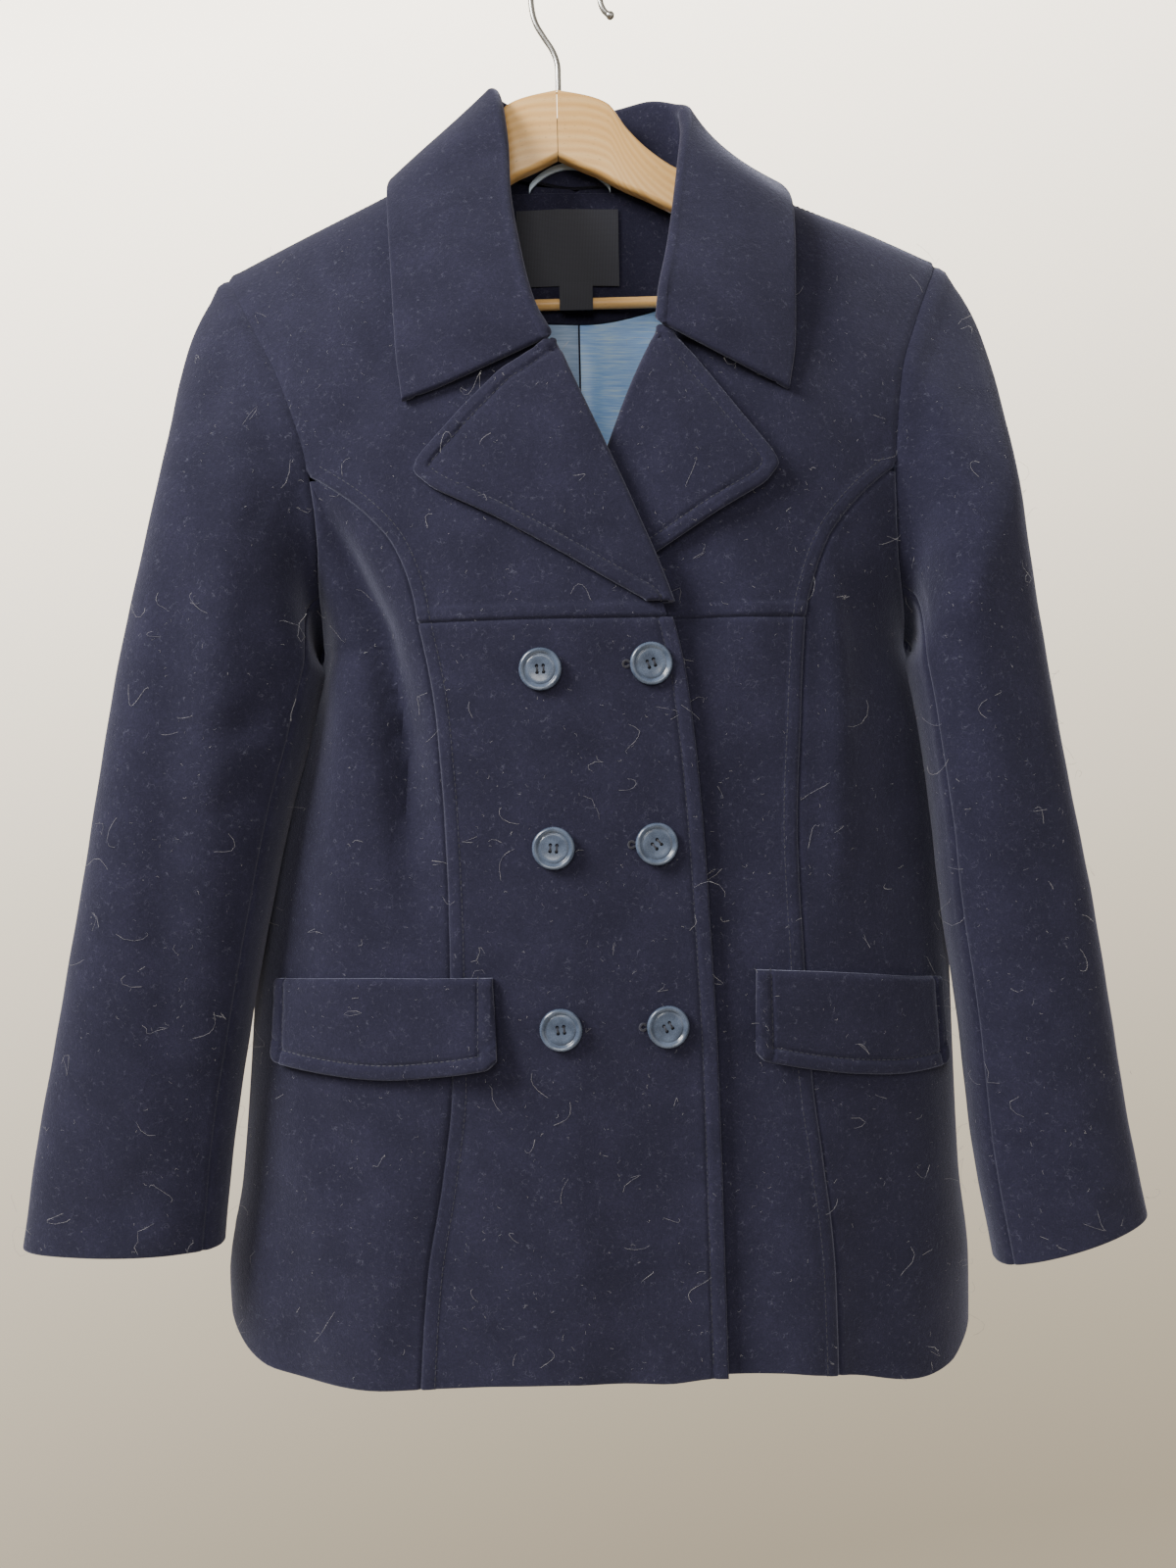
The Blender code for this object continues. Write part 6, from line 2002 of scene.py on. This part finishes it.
@dataclass
class Studio:
    """A pale floor, a pale surround, soft lights and the camera."""
    eye: tuple[float, float, float] = (0.0, -0.85, -0.497)
    roll: float = -1.2
    half_height: float = 0.468
    floor_z: float = -1.62
    floor_radius: float = 1.1

    def build(self, floor_finish: bpy.types.Material) -> None:
        """Makes all of it."""
        self.camera()
        self.surround()
        self.lights()
        form = bmesh.new()
        bmesh.ops.create_circle(form, cap_ends=True, segments=96, radius=self.floor_radius)
        mesh = bpy.data.meshes.new("studio_floor")
        form.to_mesh(mesh)
        form.free()
        mesh.transform(Matrix.Translation((0, 0, self.floor_z)))
        mesh.materials.append(floor_finish)
        floor = put("studio_floor", mesh)

    def camera(self) -> None:
        """The camera, level with the middle of the coat."""
        data = bpy.data.cameras.new("camera")
        data.sensor_fit = "VERTICAL"
        data.angle = 2 * math.atan(self.half_height / -self.eye[1])
        data.clip_start = 0.01
        item = put("camera", data)
        item.matrix_world = (Matrix.Translation(self.eye) @ Matrix.Rotation(math.radians(90), 4, "X")
                             @ Matrix.Rotation(math.radians(self.roll), 4, "Z"))
        bpy.context.scene.camera = item

    @staticmethod
    def surround() -> None:
        """A pale warm surround, brighter above; the camera sees more of that change than the coat does."""
        world = bpy.data.worlds.new("surround")
        world.use_nodes = True
        tree = Tree(world.node_tree)
        back = world.node_tree.nodes["Background"]
        place = tree.add("ShaderNodeTexCoord")
        part = tree.add("ShaderNodeSeparateXYZ", Vector=place.outputs["Generated"])
        slant = tree.add("ShaderNodeMath", {"operation": "MULTIPLY_ADD"}, i0=part.outputs["X"], i1=-0.22,
                         i2=part.outputs["Z"])
        rise = tree.span(slant.outputs[0], -0.5, 0.5, 0.0, 1.0)
        tree.link(Finish.ramp(tree, rise, ((0.0, "#c9baa0"), (0.5, "#e0d4bf"), (1.0, "#fff4e2"))),
                  back, "Color")
        seen = tree.add("ShaderNodeLightPath").outputs["Is Camera Ray"]
        bright = tree.math("MULTIPLY", tree.math("POWER", 5.0, rise), 0.95)
        tree.link(tree.mix(seen, 0.42, bright), back, "Strength")
        bpy.context.scene.world = world

    @staticmethod
    def lights() -> None:
        """A large soft key from the upper left, a weak fill, a small front light and a rim from behind."""
        for name, at, size, power in (("key", (-1.75, -1.1, 0.9), 1.0, 92.0),
                                      ("fill", (1.7, -1.6, -0.2), 1.8, 12.0),
                                      ("front", (-0.25, -2.1, 0.15), 0.8, 15.0),
                                      ("rim", (0.6, 2.0, 1.0), 1.8, 26.0)):
            data = bpy.data.lights.new(name, "AREA")
            data.energy, data.size, data.color = power, size, (1.0, 0.975, 0.94)
            item = put(name, data)
            item.location = at
            item.rotation_mode = "QUATERNION"
            item.rotation_quaternion = (Vector((0, 0, -0.45)) - Vector(at)).to_track_quat("-Z", "Y")


# ---------------------------------------------------------------------------------------------
# The coat on its hanger
# ---------------------------------------------------------------------------------------------

NARROW = 0.01          # metres; a band under this width isn't kept in the list of sheets


@dataclass
class PeaCoat:
    """The whole object: builds each piece, dresses it and hides the CAD nodes that it stands for."""
    form: CoatForm = field(default_factory=CoatForm)
    walls: dict[str, Wall] = field(default_factory=dict)
    sheets: list[tuple[bpy.types.Object, Wall, tuple[str, ...]]] = field(default_factory=list)

    def keep(self, item: bpy.types.Object, nodes: Sequence[str]) -> None:
        """Rides a piece on the body, and hides the CAD nodes that it stands for."""
        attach(item, "root")
        if nodes:
            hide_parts(*nodes)
        LOG.info("%s: %d faces", item.name, len(item.data.polygons))

    def cloth(self, wall: Wall, finish: bpy.types.Material, slot: str, rests: Sequence[str]) -> None:
        """Makes one sheet of cloth and, if it is wide enough, keeps it in the list of sheets with its wall
        and what it rests on.
        """
        item = wall.build(finish)
        self.walls[wall.name] = wall
        self.keep(item, [wall.name])
        if min(wall.flat) >= NARROW:
            self.sheets.append((item, wall, tuple(rests)))

    def build(self) -> None:
        """Makes every piece, from the body outwards."""
        wool, satin, shade = WOOL_FINISH.make(), SATIN_FINISH.make(), PAINTED_SHADE_SATIN.make()
        label, thread = LABEL_FINISH.make(), THREAD_FINISH.make()
        body, inside = Body(self.form), Inside(self.form)
        for side in Side:
            arm = ["hanger_arm_" + side.value]
            for wall in (body.yoke(side), body.back(side)):
                self.cloth(wall, wool, "wool", arm)
            self.cloth(body.lower(side), wool, "wool", ["front_yoke_" + side.value + "_cloth"])
            self.cloth(body.side_front(side), wool, "wool", ["front_yoke_" + side.value + "_cloth"])
            for wall in Sleeve(self.form, side).walls():
                self.cloth(wall, wool, "wool", arm)
            self.cloth(Lapel(self.form, side).wall(), wool, "wool", ["front_yoke_" + side.value + "_cloth"])
            self.cloth(Flap(self.form, side).wall(), wool, "wool", ["side_front_" + side.value + "_cloth"])
            # The left half of the lining takes the darker satin, which is painted shade.
            self.cloth(inside.lining(side), shade if side is Side.LEFT else satin, "lining", arm)
        self.cloth(Collar(self.form).wall(), wool, "wool", ["back_left_cloth", "back_right_cloth"])
        self.cloth(inside.facing(), wool, "wool", ["back_left_cloth", "back_right_cloth"])
        self.cloth(inside.label(), label, "label", ["back_neck_facing_cloth"])
        self.cloth(inside.size_tab(), label, "label", ["label_main_cloth"])
        self.cloth(inside.loop(), LOOP_FINISH.make(), "lining", ["back_neck_facing_cloth"])
        self.hanger()
        self.fastening(thread)
        self.trimmings(thread)

    def hanger(self) -> None:
        """The wooden hanger and its hook."""
        hanger, wood = Hanger(self.form), WOOD_FINISH.make()
        for side in Side:
            arm = hanger.arm(side, wood)
            self.keep(arm, ["hanger_arm_" + side.value])
        self.keep(hanger.bar(wood), ["hanger_bar"])
        self.keep(hanger.hook(STEEL_FINISH.make()), ["hanger_hook"])

    def fastening(self, thread: bpy.types.Material) -> None:
        """Buttons, their thread and the buttonholes."""
        sewn = Fastening(self.form)
        for number, item in enumerate(sewn.buttons(BUTTON_FINISH.make()), 1):
            self.keep(item, ["button_%d" % number])
        self.keep(sewn.thread(thread), [])
        self.keep(sewn.buttonholes(thread), [])

    def trimmings(self, thread: bpy.types.Material) -> None:
        """Topstitching, and the lint in the nap."""
        w = self.walls
        runs = w["front_lower_left"].stitches(0, True) + w["front_lower_left"].stitches(1, True, clear=(3,))
        runs += w["front_lower_right"].stitches(0, True)
        for side in Side:
            yoke = w["front_yoke_" + side.value]
            runs += yoke.stitches(1, True) + yoke.stitches(2, False)
            flap = w["flap_" + side.value]
            runs += flap.stitches(0, True, clear=(2,)) + flap.stitches(1, True, clear=(2,))
            runs += flap.stitches(2, False, clear=(0, 1))
            runs += w["lapel_" + side.value].stitches(0, True)
        runs += w["collar"].stitches(0, True, clear=(1, 2))
        runs += w["collar"].stitches(1, False, clear=(0,)) + w["collar"].stitches(2, False, clear=(0,))
        self.keep(Topstitch("stitch_row").build(runs, thread), [])
        outside = [wall for name, wall in w.items() if name.split("_")[0] in
                   ("front", "side", "back", "sleeve", "collar", "lapel", "flap") and "facing" not in name]
        fibre = FIBRE_FINISH.make()
        curls = Lint("lint_curls", "lint_curls", 4200, 1.5, 0.045, 0.55, 11)
        hairs = Lint("lint_hairs", "lint_hairs", 620, 8.0, 0.06, 1.5, 29)
        for lint in (curls, hairs):
            self.keep(lint.build(outside, fibre), [])


def main() -> None:
    """Builds the studio and the coat."""
    logging.basicConfig(level=logging.INFO, format="%(name)s %(message)s")
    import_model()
    Studio().build(FLOOR_FINISH.make())
    PeaCoat().build()


if __name__ == "__main__":
    main()
